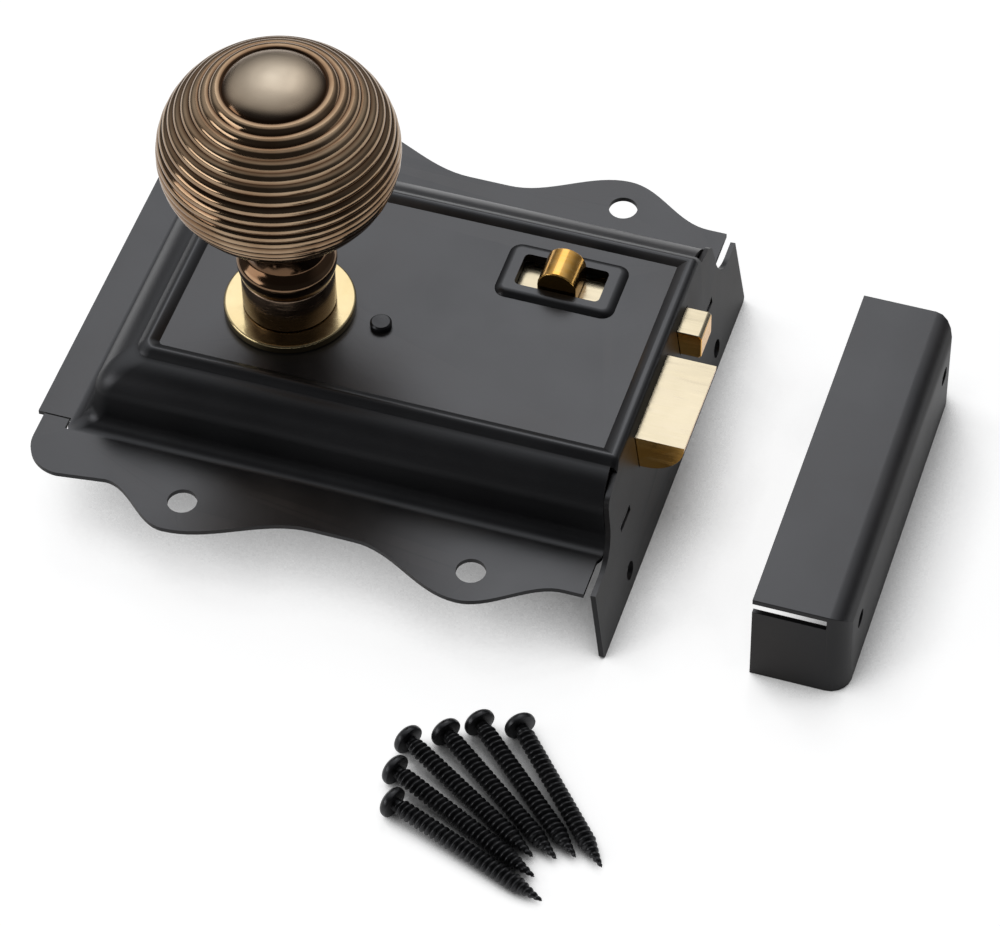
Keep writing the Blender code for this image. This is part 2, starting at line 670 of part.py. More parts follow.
def make_follower(kit):
    """Hub with a square hole and one horn, its journals in the rose and the back plate."""
    top = PANEL_Z + GAP + ROSE_THICK - 0.4 * MM
    under = PANEL_Z - SHEET - 1.2 * MM - GAP
    low_journal = HUB_RADIUS - 0.5 * MM
    profile = [
        (0.0, top), (JOURNAL_RADIUS, top), (JOURNAL_RADIUS, under), (HUB_RADIUS, under - 0.6 * MM),
        (HUB_RADIUS, PLATE + GAP), (low_journal, PLATE + GAP), (low_journal, 0.1 * MM), (0.0, 0.1 * MM)]
    hub = kit.add("follower", turned(profile, 28), kit.steel, kit.knob)
    reach = (HORN_REACH * math.sin(HORN_LEAN), -HORN_REACH * math.cos(HORN_LEAN))
    along = Vector(reach).normalized()
    across = Vector((-along.y, along.x))
    root = 3.4 * MM
    heading = math.degrees(math.atan2(along.y, along.x))
    horn = [tuple(-root * across), *arc(reach[0], reach[1], HORN_TIP_RADIUS, heading - 90, heading + 90, 8)]
    horn.append(tuple(root * across))
    kit.boolean(hub, extruded([horn], TAIL_Z[0] - 0.6 * MM, TAIL_Z[1] + 0.6 * MM), 'UNION')
    half = SPINDLE / 2 + GAP
    kit.boolean(hub, box_mesh((-half, -half, -5 * MM), (half, half, top + 5 * MM)))


def make_latch(kit):
    low_y, high_y = LATCH_Y
    nose_x = LATCH_THROW - NOSE_RADIUS
    nose = [(LATCH_REAR, BOLT_TOP), (LATCH_REAR, LATCH_BOTTOM)]
    nose += arc(nose_x, LATCH_BOTTOM + NOSE_RADIUS, NOSE_RADIUS, -90, 0, 10)
    nose.append((LATCH_THROW, BOLT_TOP))
    bolt = kit.add("latch_bolt", extruded([nose], low_y, high_y, 'XZ'), kit.brass, kit.latch)
    stop = box_mesh(
        (LATCH_REAR + 0.01 * MM, low_y - LATCH_STOP_STEP, LATCH_BOTTOM + 0.4 * MM),
        (LATCH_STOP_X, high_y + LATCH_STOP_STEP, BOLT_TOP - 0.4 * MM))
    kit.boolean(bolt, stop, 'UNION')
    tongue_x = LATCH_REAR + 6.7 * MM
    slot = box_mesh(
        (LATCH_REAR - 5 * MM, TONGUE_Y[0] - GAP, TAIL_Z[0] - GAP),
        (tongue_x + GAP, TONGUE_Y[1] + GAP, TAIL_Z[1] + GAP))
    kit.boolean(bolt, slot)
    pin = (LATCH_REAR + 3.4 * MM, (TONGUE_Y[0] + TONGUE_Y[1]) / 2)
    kit.boolean(bolt, cylinder_mesh((*pin, BOLT_TOP), PIN_RADIUS + GAP, 30 * MM, sides=16))
    rod_seat = LATCH_REAR + 4.0 * MM
    rod_hole = cylinder_mesh((rod_seat - 10 * MM, LINE_Y, ROD_Z), ROD_RADIUS + GAP, 20 * MM, 'X', 12)
    kit.boolean(bolt, rod_hole)
    make_tail(kit, tongue_x, pin)
    pin_height = BOLT_TOP - LATCH_BOTTOM - 2 * GAP
    pin_mid = (*pin, (BOLT_TOP + LATCH_BOTTOM) / 2)
    kit.add("latch_pin", cylinder_mesh(pin_mid, PIN_RADIUS, pin_height, sides=16), kit.steel, kit.latch)
    rod_left = POST_X - 1.9 * MM
    rod_right = rod_seat - GAP
    rod_mid = ((rod_left + rod_right) / 2, LINE_Y, ROD_Z)
    rod = cylinder_mesh(rod_mid, ROD_RADIUS, rod_right - rod_left, 'X', 12)
    kit.add("spring_rod", rod, kit.steel, kit.latch)
    make_spring(kit)


def make_tail(kit, tongue_x, pin):
    """Cranked bar from the bolt round the follower to the lug that its horn pushes."""
    lug_right = KNOB_X + HORN_REACH * math.sin(HORN_LEAN) - HORN_TIP_RADIUS - GAP
    lug_top = LINE_Y - HORN_REACH * math.cos(HORN_LEAN) - 0.8 * MM
    crank = (LATCH_REAR - 8.0 * MM, LATCH_REAR - GAP)
    outline = [
        (tongue_x, TONGUE_Y[0]), (tongue_x, TONGUE_Y[1]),
        (crank[0], TONGUE_Y[1]), (crank[0], TAIL_BAR_Y[1]),
        (lug_right, TAIL_BAR_Y[1]), (lug_right, lug_top), (lug_right - LUG_WIDTH, lug_top),
        (lug_right - LUG_WIDTH, TAIL_BAR_Y[0]), (crank[1] - 3 * MM, TAIL_BAR_Y[0]),
        (crank[1], TAIL_BAR_Y[0] + 3 * MM), (crank[1], TONGUE_Y[0])]
    hole = arc(pin[0], pin[1], PIN_RADIUS + GAP, 0, 337.5, 15)
    kit.add("latch_tail", extruded([outline, hole], *TAIL_Z), kit.steel, kit.latch)


def make_spring(kit):
    """Compression spring on the rod, from the post to the back of the latch bolt."""
    left = POST_X + POST_RADIUS + GAP + SPRING_WIRE
    right = LATCH_REAR - GAP - SPRING_WIRE
    per_turn = 9
    count = SPRING_TURNS * per_turn
    points = []
    for i in range(count + 1):
        a = 2 * math.pi * i / per_turn
        x = left + (right - left) * i / count
        y = LINE_Y + SPRING_RADIUS * math.cos(a)
        points.append(Vector((x, y, ROD_Z + SPRING_RADIUS * math.sin(a))))
    curve = bpy.data.curves.new("coil", 'CURVE')
    curve.dimensions = '3D'
    curve.bevel_depth = SPRING_WIRE
    curve.bevel_resolution = 1
    curve.use_fill_caps = True
    spline = curve.splines.new('POLY')
    spline.points.add(len(points) - 1)
    for point, co in zip(spline.points, points):
        point.co = (*co, 1.0)
    obj = bpy.data.objects.new("coil", curve)
    bpy.context.scene.collection.objects.link(obj)
    kit.add("latch_spring", mesh_from(obj), kit.steel, kit.latch)
    least = 1.0
    for i, point in enumerate(points):
        for other in points[i + per_turn // 2:]:
            least = min(least, (point - other).length)
    print(f"latch_spring least gap to itself: {(least - 2 * SPRING_WIRE) / MM:.2f} mm")


def make_night_bolt(kit):
    low_y, high_y = NIGHT_Y
    shank_low, shank_high = NIGHT_SHANK_Z
    chamfer = 0.7 * MM
    outline = [
        (NIGHT_SHANK_LEFT, shank_high), (NIGHT_SHANK_LEFT, shank_low),
        (NIGHT_HEAD_REAR - 3 * MM, shank_low), (NIGHT_HEAD_REAR, NIGHT_BOTTOM),
        (NIGHT_THROW - chamfer, NIGHT_BOTTOM), (NIGHT_THROW, NIGHT_BOTTOM + chamfer),
        (NIGHT_THROW, BOLT_TOP - chamfer), (NIGHT_THROW - chamfer, BOLT_TOP),
        (NIGHT_HEAD_REAR + 2 * MM, BOLT_TOP), (NIGHT_HEAD_REAR, shank_high)]
    bolt = kit.add("night_bolt", extruded([outline], low_y, high_y, 'XZ'), kit.brass, kit.latch)
    kit.boolean(bolt, cylinder_mesh((SNIB_X, SNIB_Y, shank_high), 1.5 * MM + GAP, 5 * MM, sides=16))
    make_button(kit, shank_high)
    make_guide(kit, shank_low)


def make_button(kit, shank_high):
    half = BUTTON_WIDTH / 2
    foot = shank_high + GAP
    arch = [(SNIB_X - half, foot), (SNIB_X + half, foot)]
    arch += arc(SNIB_X, BUTTON_TOP - half, half, 0, 180, 12)
    depth = SLOT_WIDTH / 2 - 0.5 * MM
    shape = extruded([arch], SNIB_Y - depth, SNIB_Y + depth, 'XZ')
    button = kit.add("thumb_button", shape, kit.brass, kit.latch)
    pin_low = shank_high - 2.0 * MM
    pin_high = foot + 3.0 * MM
    pin_hole = 2 * (pin_high + GAP - foot)
    kit.boolean(button, cylinder_mesh((SNIB_X, SNIB_Y, foot), 1.5 * MM + GAP, pin_hole, sides=16))
    pin = cylinder_mesh((SNIB_X, SNIB_Y, (pin_low + pin_high) / 2), 1.5 * MM, pin_high - pin_low, sides=16)
    kit.add("button_pin", pin, kit.steel, kit.latch)


def make_guide(kit, shank_low):
    """U strap under the night bolt's shank and the flat spring that presses on its side."""
    low_y = NIGHT_Y[0] - GAP
    high_y = NIGHT_Y[1] + GAP
    thick = 1.2 * MM
    floor = shank_low - GAP
    under = PANEL_Z - SHEET - GAP
    strap = [
        (low_y - thick, under), (low_y - thick, floor - thick), (high_y + thick, floor - thick),
        (high_y + thick, under), (high_y, under), (high_y, floor), (low_y, floor), (low_y, under)]
    left = SNIB_X - SLOT_LENGTH / 2 - 7.0 * MM
    kit.add("night_bolt_guide", extruded([strap], left, left + 5.0 * MM, 'YZ'), kit.steel, kit.latch)
    spring_left = left + 5.0 * MM + 2 * GAP
    spring_right = SNIB_X + SLOT_LENGTH / 2
    rest = NIGHT_Y[1] + GAP
    thin = 0.6 * MM
    rise = 2.6 * MM
    bow = []
    for i in range(9):
        share = i / 8
        bow.append((spring_left + (spring_right - spring_left) * share, rest + rise * (2 * share - 1) ** 2))
    outline = bow + [(x, y + thin) for x, y in reversed(bow)]
    leaf = extruded([outline], shank_low + 0.4 * MM, NIGHT_SHANK_Z[1] - 0.4 * MM)
    kit.add("night_bolt_spring", leaf, kit.steel, kit.latch)


def keep_block(inset):
    """Block of the keep's outer form, or of its hollow with the left side and back open."""
    bm = bmesh.new()
    bmesh.ops.create_cube(bm, size=1.0)
    low = Vector((0.0, inset, 0.0))
    high = KEEP_SIZE - Vector((inset, inset, inset))
    if inset:
        low.x = low.z = -10 * MM
    bmesh.ops.scale(bm, vec=high - low, verts=bm.verts)
    bmesh.ops.translate(bm, vec=(low + high) / 2, verts=bm.verts)
    bends = []
    for edge in bm.edges:
        middle = (edge.verts[0].co + edge.verts[1].co) / 2
        on_right = abs(middle.x - high.x) < 1e-6
        if on_right and middle.z > low.z + 1e-6:
            bends.append(edge)
    bmesh.ops.bevel(bm, geom=bends, offset=KEEP_BEND - inset, segments=5, profile=0.5, affect='EDGES')
    return finish_mesh("keep", bm)


def make_keep(kit):
    keep = kit.add("keep", keep_block(0.0), kit.black, kit.keep)
    kit.boolean(keep, keep_block(SHEET))
    slit_high = KEEP_SIZE.z - SHEET - 0.2 * MM
    bend_x = KEEP_SIZE.x - KEEP_BEND - 0.4 * MM
    for low_y, high_y in ((-MM, SHEET + MM), (KEEP_SIZE.y - SHEET - MM, KEEP_SIZE.y + MM)):
        slit = box_mesh((-MM, low_y, slit_high - KEEP_SLIT), (bend_x, high_y, slit_high))
        kit.boolean(keep, slit)
    for y in (KEEP_HOLE_INSET, KEEP_SIZE.y - KEEP_HOLE_INSET):
        hole = cylinder_mesh((KEEP_SIZE.x, y, KEEP_HOLE_Z), KEEP_HOLE_RADIUS, 8 * MM, 'X', 16)
        kit.boolean(keep, hole)


def screw_mesh():
    """Round-headed wood screw without its thread, head up."""
    crown = []
    for i in range(5):
        a = math.pi / 2 * i / 4
        crown.append((SCREW_HEAD_RADIUS * math.sin(a), SCREW_HEAD_HEIGHT * (0.35 + 0.65 * math.cos(a))))
    tip = -SCREW_LENGTH
    shank = [
        (SCREW_HEAD_RADIUS, 0.0), (SCREW_SHANK_RADIUS, 0.0), (SCREW_SHANK_RADIUS, tip + SCREW_POINT),
        (SCREW_TIP_RADIUS, tip + SCREW_TIP_HEIGHT), (0.0, tip)]
    return turned(crown + shank, 16)


def make_screws(kit):
    reach = SCREW_LENGTH - SCREW_POINT
    dip = math.asin((SCREW_HEAD_RADIUS - SCREW_SHANK_RADIUS) / reach)
    for number, (x, y, heading) in enumerate(SCREWS, start=1):
        screw = kit.add(f"wood_screw_{number}", screw_mesh(), kit.black, kit.latch)
        height = SCREW_HEAD_RADIUS * math.cos(dip) - LIP
        screw.location = (x * MM, y * MM, height)
        screw.rotation_euler = (0.0, math.radians(-90.0) + dip, math.radians(heading))


def main():
    kit = Kit()
    make_case(kit)
    make_back_plate(kit)
    make_post(kit)
    make_rose(kit)
    make_knob(kit)
    make_follower(kit)
    make_latch(kit)
    make_night_bolt(kit)
    make_keep(kit)
    make_screws(kit)
    bpy.context.view_layer.update()


main()
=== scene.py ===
import math

import bmesh
import bpy
from mathutils import Matrix, Vector


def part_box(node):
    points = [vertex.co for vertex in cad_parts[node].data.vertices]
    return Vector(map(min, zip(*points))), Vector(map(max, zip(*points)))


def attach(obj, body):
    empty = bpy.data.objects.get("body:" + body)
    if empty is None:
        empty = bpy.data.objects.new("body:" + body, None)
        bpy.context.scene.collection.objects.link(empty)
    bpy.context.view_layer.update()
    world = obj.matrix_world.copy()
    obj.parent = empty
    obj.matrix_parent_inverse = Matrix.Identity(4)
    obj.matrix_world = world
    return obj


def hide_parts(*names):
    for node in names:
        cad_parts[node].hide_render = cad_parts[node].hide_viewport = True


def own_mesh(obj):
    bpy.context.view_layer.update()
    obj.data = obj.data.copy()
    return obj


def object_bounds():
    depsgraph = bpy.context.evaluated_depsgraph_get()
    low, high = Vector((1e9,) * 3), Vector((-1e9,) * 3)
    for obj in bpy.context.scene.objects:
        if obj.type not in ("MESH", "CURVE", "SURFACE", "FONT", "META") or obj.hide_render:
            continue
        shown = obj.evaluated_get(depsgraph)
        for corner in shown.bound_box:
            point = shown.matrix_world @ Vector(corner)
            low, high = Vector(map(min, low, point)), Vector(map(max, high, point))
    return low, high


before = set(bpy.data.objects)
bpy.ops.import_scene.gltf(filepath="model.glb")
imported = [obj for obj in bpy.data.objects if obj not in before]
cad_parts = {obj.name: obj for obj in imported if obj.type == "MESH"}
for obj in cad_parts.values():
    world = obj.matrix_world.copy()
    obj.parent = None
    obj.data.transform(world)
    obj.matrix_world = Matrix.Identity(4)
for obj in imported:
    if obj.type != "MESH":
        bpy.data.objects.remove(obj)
cadLow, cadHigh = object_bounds()
print("frame loaded,", len(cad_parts), "nodes")

mm = 0.001
tiny = 1e-6  # points closer than this count as one place
weldGap = 1e-7

# latch frame: z = 0 on the door side of the case, x = 0 at the forend, y along it
spindleLow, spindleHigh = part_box("spindle")
knobAxis = (spindleLow + spindleHigh) / 2
knobX, lineY, lift = -85.2 * mm, -8.5 * mm, 20.0 * mm
latchOrigin = Vector((knobAxis.x - knobX, knobAxis.y - lineY, lift))
toLatch = Matrix.Translation(latchOrigin)
toKnob = Matrix.Translation((knobAxis.x, knobAxis.y, lift))


# small tools for meshes
def addObject(name, mesh, *finishes):
    obj = bpy.data.objects.new(name, mesh)
    bpy.context.scene.collection.objects.link(obj)
    mesh.materials.clear()
    for finish in finishes:
        mesh.materials.append(finish)
    return obj


def putOn(obj, body, slotName, *nodes):
    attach(obj, body)
    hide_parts(*nodes)


def meshFrom(bm, name):
    bmesh.ops.remove_doubles(bm, verts=bm.verts, dist=weldGap)
    bmesh.ops.dissolve_degenerate(bm, dist=weldGap, edges=bm.edges)
    bmesh.ops.recalc_face_normals(bm, faces=bm.faces)
    mesh = bpy.data.meshes.new(name)
    bm.to_mesh(mesh)
    bm.free()
    return mesh


sharpAngle = math.radians(40.0)


def smoothShade(mesh):
    mesh.shade_smooth()
    mesh.set_sharp_from_angle(angle=sharpAngle)


def arcPoints(centreX, centreY, radius, start, end, count):
    points = []
    for i in range(count + 1):
        a = math.radians(start + (end - start) * i / count)
        points.append((centreX + radius * math.cos(a), centreY + radius * math.sin(a)))
    return points


def roundPlan(centreX, centreY, length, width, radius, steps):
    points = []
    for start, sx, sy in ((0, 1, 1), (90, -1, 1), (180, -1, -1), (270, 1, -1)):
        x = centreX + sx * (length / 2 - radius)
        y = centreY + sy * (width / 2 - radius)
        points += arcPoints(x, y, radius, start, start + 90, steps)
    return points


def joinRings(bm, rings):
    count = len(rings[0])
    for low, high in zip(rings, rings[1:]):
        for i in range(count):
            j = (i + 1) % count
            bm.faces.new((low[i], low[j], high[j], high[i]))


def stackMesh(name, levels):
    # a closed stack of outlines, each a list of points and a height
    bm = bmesh.new()
    rings = []
    for outline, z in levels:
        rings.append([bm.verts.new((x, y, z)) for x, y in outline])
    joinRings(bm, rings)
    bm.faces.new(rings[-1])
    bm.faces.new(list(reversed(rings[0])))
    return meshFrom(bm, name)


def latheMesh(name, profile, sides):
    # profile runs down the outside as (radius, z); a radius of 0 closes it on the axis
    bm = bmesh.new()
    rings = []
    for radius, z in profile:
        if radius == 0.0:
            rings.append([bm.verts.new((0.0, 0.0, z))] * sides)
            continue
        ring = []
        for i in range(sides):
            a = 2 * math.pi * i / sides
            ring.append(bm.verts.new((radius * math.cos(a), radius * math.sin(a), z)))
        rings.append(ring)
    if profile[0][0] > 0.0 and profile[-1][0] > 0.0:
        rings.append(rings[0])
    for upper, lower in zip(rings, rings[1:]):
        for i in range(sides):
            j = (i + 1) % sides
            corners = []
            for v in (upper[i], lower[i], lower[j], upper[j]):
                if v not in corners:
                    corners.append(v)
            if len(corners) > 2:
                bm.faces.new(corners)
    return meshFrom(bm, name)


def boxMesh(low, high):
    plan = [(low[0], low[1]), (high[0], low[1]), (high[0], high[1]), (low[0], high[1])]
    return stackMesh("box", [(plan, low[2]), (plan, high[2])])


def pinMesh(centre, radius, length, alongX=False, sides=48):
    half = length / 2
    mesh = latheMesh("pin", [(0.0, half), (radius, half), (radius, -half), (0.0, -half)], sides)
    if alongX:
        mesh.transform(Matrix.Rotation(math.pi / 2, 4, 'Y'))
    mesh.transform(Matrix.Translation(centre))
    return mesh


def applyAll(obj):
    bpy.context.view_layer.update()
    old = obj.data
    graph = bpy.context.evaluated_depsgraph_get()
    obj.data = bpy.data.meshes.new_from_object(obj.evaluated_get(graph))
    obj.modifiers.clear()
    bpy.data.meshes.remove(old)


def cut(obj, cutterMesh, operation='DIFFERENCE'):
    cutter = bpy.data.objects.new("cutter", cutterMesh)
    bpy.context.scene.collection.objects.link(cutter)
    step = obj.modifiers.new("cut", 'BOOLEAN')
    step.operation = operation
    step.solver = 'EXACT'
    step.object = cutter
    applyAll(obj)
    bpy.data.objects.remove(cutter)
    bpy.data.meshes.remove(cutterMesh)


def refinish(mesh, finish):
    mesh.materials.clear()
    mesh.materials.append(finish)


softSize = dict(weld=2 * tiny, flat=math.radians(0.5), segments=3, angle=30.0, evenWeight=90)


def softEdges(obj, width, segments, angle):
    bevel = obj.modifiers.new("soft edges", 'BEVEL')
    bevel.width = width
    bevel.segments = segments
    bevel.limit_method = 'ANGLE'
    bevel.angle_limit = math.radians(angle)
    bevel.miter_outer = 'MITER_ARC'
    bevel.harden_normals = True
    even = obj.modifiers.new("even shading", 'WEIGHTED_NORMAL')
    even.keep_sharp = True
    even.weight = softSize["evenWeight"]


def softCopy(nodeName, name, width, *finishes):
    # the CAD piece again, its flats joined up and its edges broken
    bm = bmesh.new()
    bm.from_mesh(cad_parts[nodeName].data)
    bmesh.ops.remove_doubles(bm, verts=bm.verts, dist=softSize["weld"])
    bmesh.ops.dissolve_limit(bm, angle_limit=softSize["flat"], verts=bm.verts, edges=bm.edges)
    bm.verts.index_update()
    points = [v.co.copy() for v in bm.verts]
    faces = [[v.index for v in f.verts] for f in bm.faces]
    bm.free()
    mesh = bpy.data.meshes.new(name)
    mesh.from_pydata(points, [], faces)
    mesh.shade_smooth()
    obj = addObject(name, mesh, *finishes)
    softEdges(obj, width, softSize["segments"], softSize["angle"])
    return obj


# small tools for finishes
def startFinish(name):
    finish = bpy.data.materials.new(name)
    finish.use_nodes = True
    return finish, finish.node_tree, finish.node_tree.nodes["Principled BSDF"]


noiseRough = 0.55


def addNoise(tree, scale, detail, stretch=None):
    coords = tree.nodes.new("ShaderNodeTexCoord")
    noise = tree.nodes.new("ShaderNodeTexNoise")
    noise.inputs["Scale"].default_value = scale
    noise.inputs["Detail"].default_value = detail
    noise.inputs["Roughness"].default_value = noiseRough
    source = coords.outputs["Object"]
    if stretch:
        mapping = tree.nodes.new("ShaderNodeMapping")
        mapping.inputs["Scale"].default_value = stretch
        tree.links.new(source, mapping.inputs["Vector"])
        source = mapping.outputs["Vector"]
    tree.links.new(source, noise.inputs["Vector"])
    return noise.outputs["Fac"]


def addRamp(tree, source, span, first, second):
    ramp = tree.nodes.new("ShaderNodeValToRGB")
    for element, position, colour in zip(ramp.color_ramp.elements, span, (first, second)):
        element.position = position
        element.color = (*colour, 1.0)
    tree.links.new(source, ramp.inputs["Fac"])
    return ramp.outputs["Color"]


def addRange(tree, source, fromLow, fromHigh, toLow, toHigh):
    spread = tree.nodes.new("ShaderNodeMapRange")
    spread.inputs["From Min"].default_value = fromLow
    spread.inputs["From Max"].default_value = fromHigh
    spread.inputs["To Min"].default_value = toLow
    spread.inputs["To Max"].default_value = toHigh
    tree.links.new(source, spread.inputs["Value"])
    return spread.outputs["Result"]


def addMath(tree, operation, first, second):
    node = tree.nodes.new("ShaderNodeMath")
    node.operation = operation
    tree.links.new(first, node.inputs[0])
    tree.links.new(second, node.inputs[1])
    return node.outputs[0]


def addMix(tree, factor, first, second):
    mix = tree.nodes.new("ShaderNodeMix")
    mix.data_type = 'RGBA'
    tree.links.new(factor, mix.inputs[0])
    for socket, value in ((mix.inputs[6], first), (mix.inputs[7], second)):
        if isinstance(value, tuple):
            socket.default_value = (*value, 1.0)
        else:
            tree.links.new(value, socket)
    return mix.outputs[2]


def addBump(tree, shader, height, strength, distance, before=None):
    bump = tree.nodes.new("ShaderNodeBump")
    bump.inputs["Strength"].default_value = strength
    bump.inputs["Distance"].default_value = distance
    tree.links.new(height, bump.inputs["Height"])
    if before:
        tree.links.new(before, bump.inputs["Normal"])
    tree.links.new(bump.outputs["Normal"], shader.inputs["Normal"])
    return bump.outputs["Normal"]


wearLook = dict(edge=(0.52, 0.62), patch=(0.42, 0.62), least=0.15)


def addEdgeWear(tree, patches, strength):
    # outside edges, broken up by patches
    shape = tree.nodes.new("ShaderNodeNewGeometry")
    edge = addRange(tree, shape.outputs["Pointiness"], *wearLook["edge"], 0.0, strength)
    broken = addRange(tree, patches, *wearLook["patch"], wearLook["least"], 1.0)
    return addMath(tree, 'MULTIPLY', edge, broken)


blackLook = dict(dark=(0.0045, 0.0045, 0.0050), light=(0.0085, 0.0085, 0.0092), worn=(0.042, 0.036, 0.032),
                 wet=0.92, dry=0.25, roughLow=0.28, roughHigh=0.36, cloud=34.0)
screwLook = dict(dark=(0.005, 0.005, 0.0054), light=(0.012, 0.012, 0.013), worn=(0.055, 0.050, 0.046),
                 wet=0.60, dry=0.45, roughLow=0.25, roughHigh=0.36, cloud=260.0)
lacquerLook = dict(cloudSpan=(0.32, 0.72), roughSpan=(0.3, 0.7), speck=1900.0, peel=520.0, wear=0.6,
                   dust=(0.045, 0.044, 0.042), dustSpan=(0.62, 0.80), dustMost=(0.10, 0.10, 0.10),
                   wetSpan=(0.45, 0.97), dullSpan=(0.25, 0.92), dull=0.18, tint=(0.94, 0.95, 1.0, 1.0),
                   bump=0.10, speckHigh=0.05 * mm, peelHigh=0.10 * mm)


def makeBlack(name, look):
    coat = lacquerLook
    finish, tree, shader = startFinish(name)
    cloud = addNoise(tree, look["cloud"], detail=4.0)
    speck = addNoise(tree, coat["speck"], detail=2.0)
    peel = addNoise(tree, coat["peel"], detail=1.0)
    tone = addRamp(tree, cloud, coat["cloudSpan"], look["dark"], look["light"])
    dust = addRamp(tree, speck, coat["dustSpan"], (0.0, 0.0, 0.0), coat["dustMost"])
    tone = addMix(tree, dust, tone, coat["dust"])
    tone = addMix(tree, addEdgeWear(tree, cloud, coat["wear"]), tone, look["worn"])
    tree.links.new(tone, shader.inputs["Base Color"])
    # glossier on faces that look up, duller on walls and edges
    coords = tree.nodes.new("ShaderNodeTexCoord")
    split = tree.nodes.new("ShaderNodeSeparateXYZ")
    tree.links.new(coords.outputs["Normal"], split.inputs["Vector"])
    wet = addRange(tree, split.outputs["Z"], *coat["wetSpan"], look["dry"], look["wet"])
    tree.links.new(wet, shader.inputs["Specular IOR Level"])
    shader.inputs["Specular Tint"].default_value = coat["tint"]
    rough = addRange(tree, cloud, *coat["roughSpan"], look["roughLow"], look["roughHigh"])
    dull = addRange(tree, split.outputs["Z"], *coat["dullSpan"], coat["dull"], 0.0)
    tree.links.new(addMath(tree, 'ADD', rough, dull), shader.inputs["Roughness"])
    fine = addBump(tree, shader, speck, coat["bump"], coat["speckHigh"])
    addBump(tree, shader, peel, coat["bump"], coat["peelHigh"], fine)
    return finish


# pale copy of the drawn brass for faces that look up: a painted highlight
brassLitTopLook = dict(low=(0.50, 0.435, 0.31), high=(0.56, 0.49, 0.36), worn=(0.64, 0.56, 0.42), rough=0.20,
                grain=(0.08, 1.0, 1.0))
# deeper golden copy of the same brass for the sides, under the painted highlight
brassSideLook = dict(low=(0.72, 0.37, 0.075), high=(0.84, 0.48, 0.12), worn=(0.88, 0.66, 0.32), rough=0.16,
                grain=(0.08, 1.0, 1.0))
roseLook = dict(low=(0.55, 0.44, 0.24), high=(0.60, 0.49, 0.29), worn=(0.68, 0.55, 0.33), rough=0.12,
                grain=(0.4, 0.4, 2.0))
sleeveLook = dict(low=(0.20, 0.14, 0.10), high=(0.28, 0.20, 0.14), worn=(0.36, 0.26, 0.16), rough=0.20,
                  grain=(0.3, 0.3, 2.0))
steelLook = dict(low=(0.36, 0.36, 0.37), high=(0.56, 0.56, 0.57), worn=(0.66, 0.66, 0.67), rough=0.36,
                 grain=(0.06, 1.0, 1.0))


metalLook = dict(cloud=60.0, cloudSpan=(0.34, 0.66), lines=900.0, wear=0.8, roughSpan=(0.3, 0.7),
                 smoother=0.04, rougher=0.09, bump=0.10, lineHigh=0.03 * mm)


def makeMetal(name, look):
    bare = metalLook
    finish, tree, shader = startFinish(name)
    shader.inputs["Metallic"].default_value = 1.0
    cloud = addNoise(tree, bare["cloud"], detail=4.0)
    lines = addNoise(tree, bare["lines"], detail=2.0, stretch=look["grain"])
    tone = addRamp(tree, cloud, bare["cloudSpan"], look["low"], look["high"])
    tone = addMix(tree, addEdgeWear(tree, lines, bare["wear"]), tone, look["worn"])
    tree.links.new(tone, shader.inputs["Base Color"])
    low, high = look["rough"] - bare["smoother"], look["rough"] + bare["rougher"]
    tree.links.new(addRange(tree, lines, *bare["roughSpan"], low, high), shader.inputs["Roughness"])
    addBump(tree, shader, lines, bare["bump"], bare["lineHigh"])
    return finish


agedLook = dict(groove=(0.10, 0.055, 0.030), patina=(0.23, 0.145, 0.085), crest=(0.36, 0.26, 0.17),
                capHighlightColour=(0.56, 0.48, 0.38), rough=0.12, smoother=0.03, rougher=0.06, capRough=0.22,
                cloud=70.0, cloudSpan=(0.34, 0.66), lines=700.0, grain=(0.15, 0.15, 3.0),
                crestSpan=(0.05, 0.75), roughSpan=(0.3, 0.7), capSatinSpan=(0.0, 0.6), bump=0.08,
                lineHigh=0.03 * mm)


def makeAgedBrass():
    look = agedLook
    finish, tree, shader = startFinish("aged brass")
    shader.inputs["Metallic"].default_value = 1.0
    height = tree.nodes.new("ShaderNodeAttribute")
    height.attribute_name = "crest"
    cloud = addNoise(tree, look["cloud"], detail=4.0)
    turned = addNoise(tree, look["lines"], detail=2.0, stretch=look["grain"])
    metal = addRamp(tree, cloud, look["cloudSpan"], look["patina"], look["crest"])
    # bare metal on the crests and patina in the grooves; on the neck and collar under the ball this is
    # painted shade
    bare = addRange(tree, height.outputs["Fac"], *look["crestSpan"], 0.0, 1.0)
    metal = addMix(tree, bare, look["groove"], metal)
    # paler towards the top of the cap: a painted highlight, which also makes the cap satin
    capHighlight = tree.nodes.new("ShaderNodeAttribute")
    capHighlight.attribute_name = "capHighlight"
    metal = addMix(tree, capHighlight.outputs["Fac"], metal, look["capHighlightColour"])
    tree.links.new(metal, shader.inputs["Base Color"])
    low, high = look["rough"] - look["smoother"], look["rough"] + look["rougher"]
    rough = addRange(tree, turned, *look["roughSpan"], low, high)
    satin = addRange(tree, capHighlight.outputs["Fac"], *look["capSatinSpan"], 0.0, look["capRough"])
    tree.links.new(addMath(tree, 'ADD', rough, satin), shader.inputs["Roughness"])
    addBump(tree, shader, turned, look["bump"], look["lineHigh"])
    return finish


blackLacquer = makeBlack("satin black lacquer", blackLook)
screwBlack = makeBlack("black screw finish", screwLook)
brassLitTop = makeMetal("drawn brass, painted highlight on top faces", brassLitTopLook)
brassSide = makeMetal("drawn brass, golden side copy", brassSideLook)
roseBrass = makeMetal("turned brass", roseLook)
darkBrass = makeMetal("dark turned brass", sleeveLook)
plainSteel = makeMetal("plain steel", steelLook)
agedBrass = makeAgedBrass()
print("finishes made")

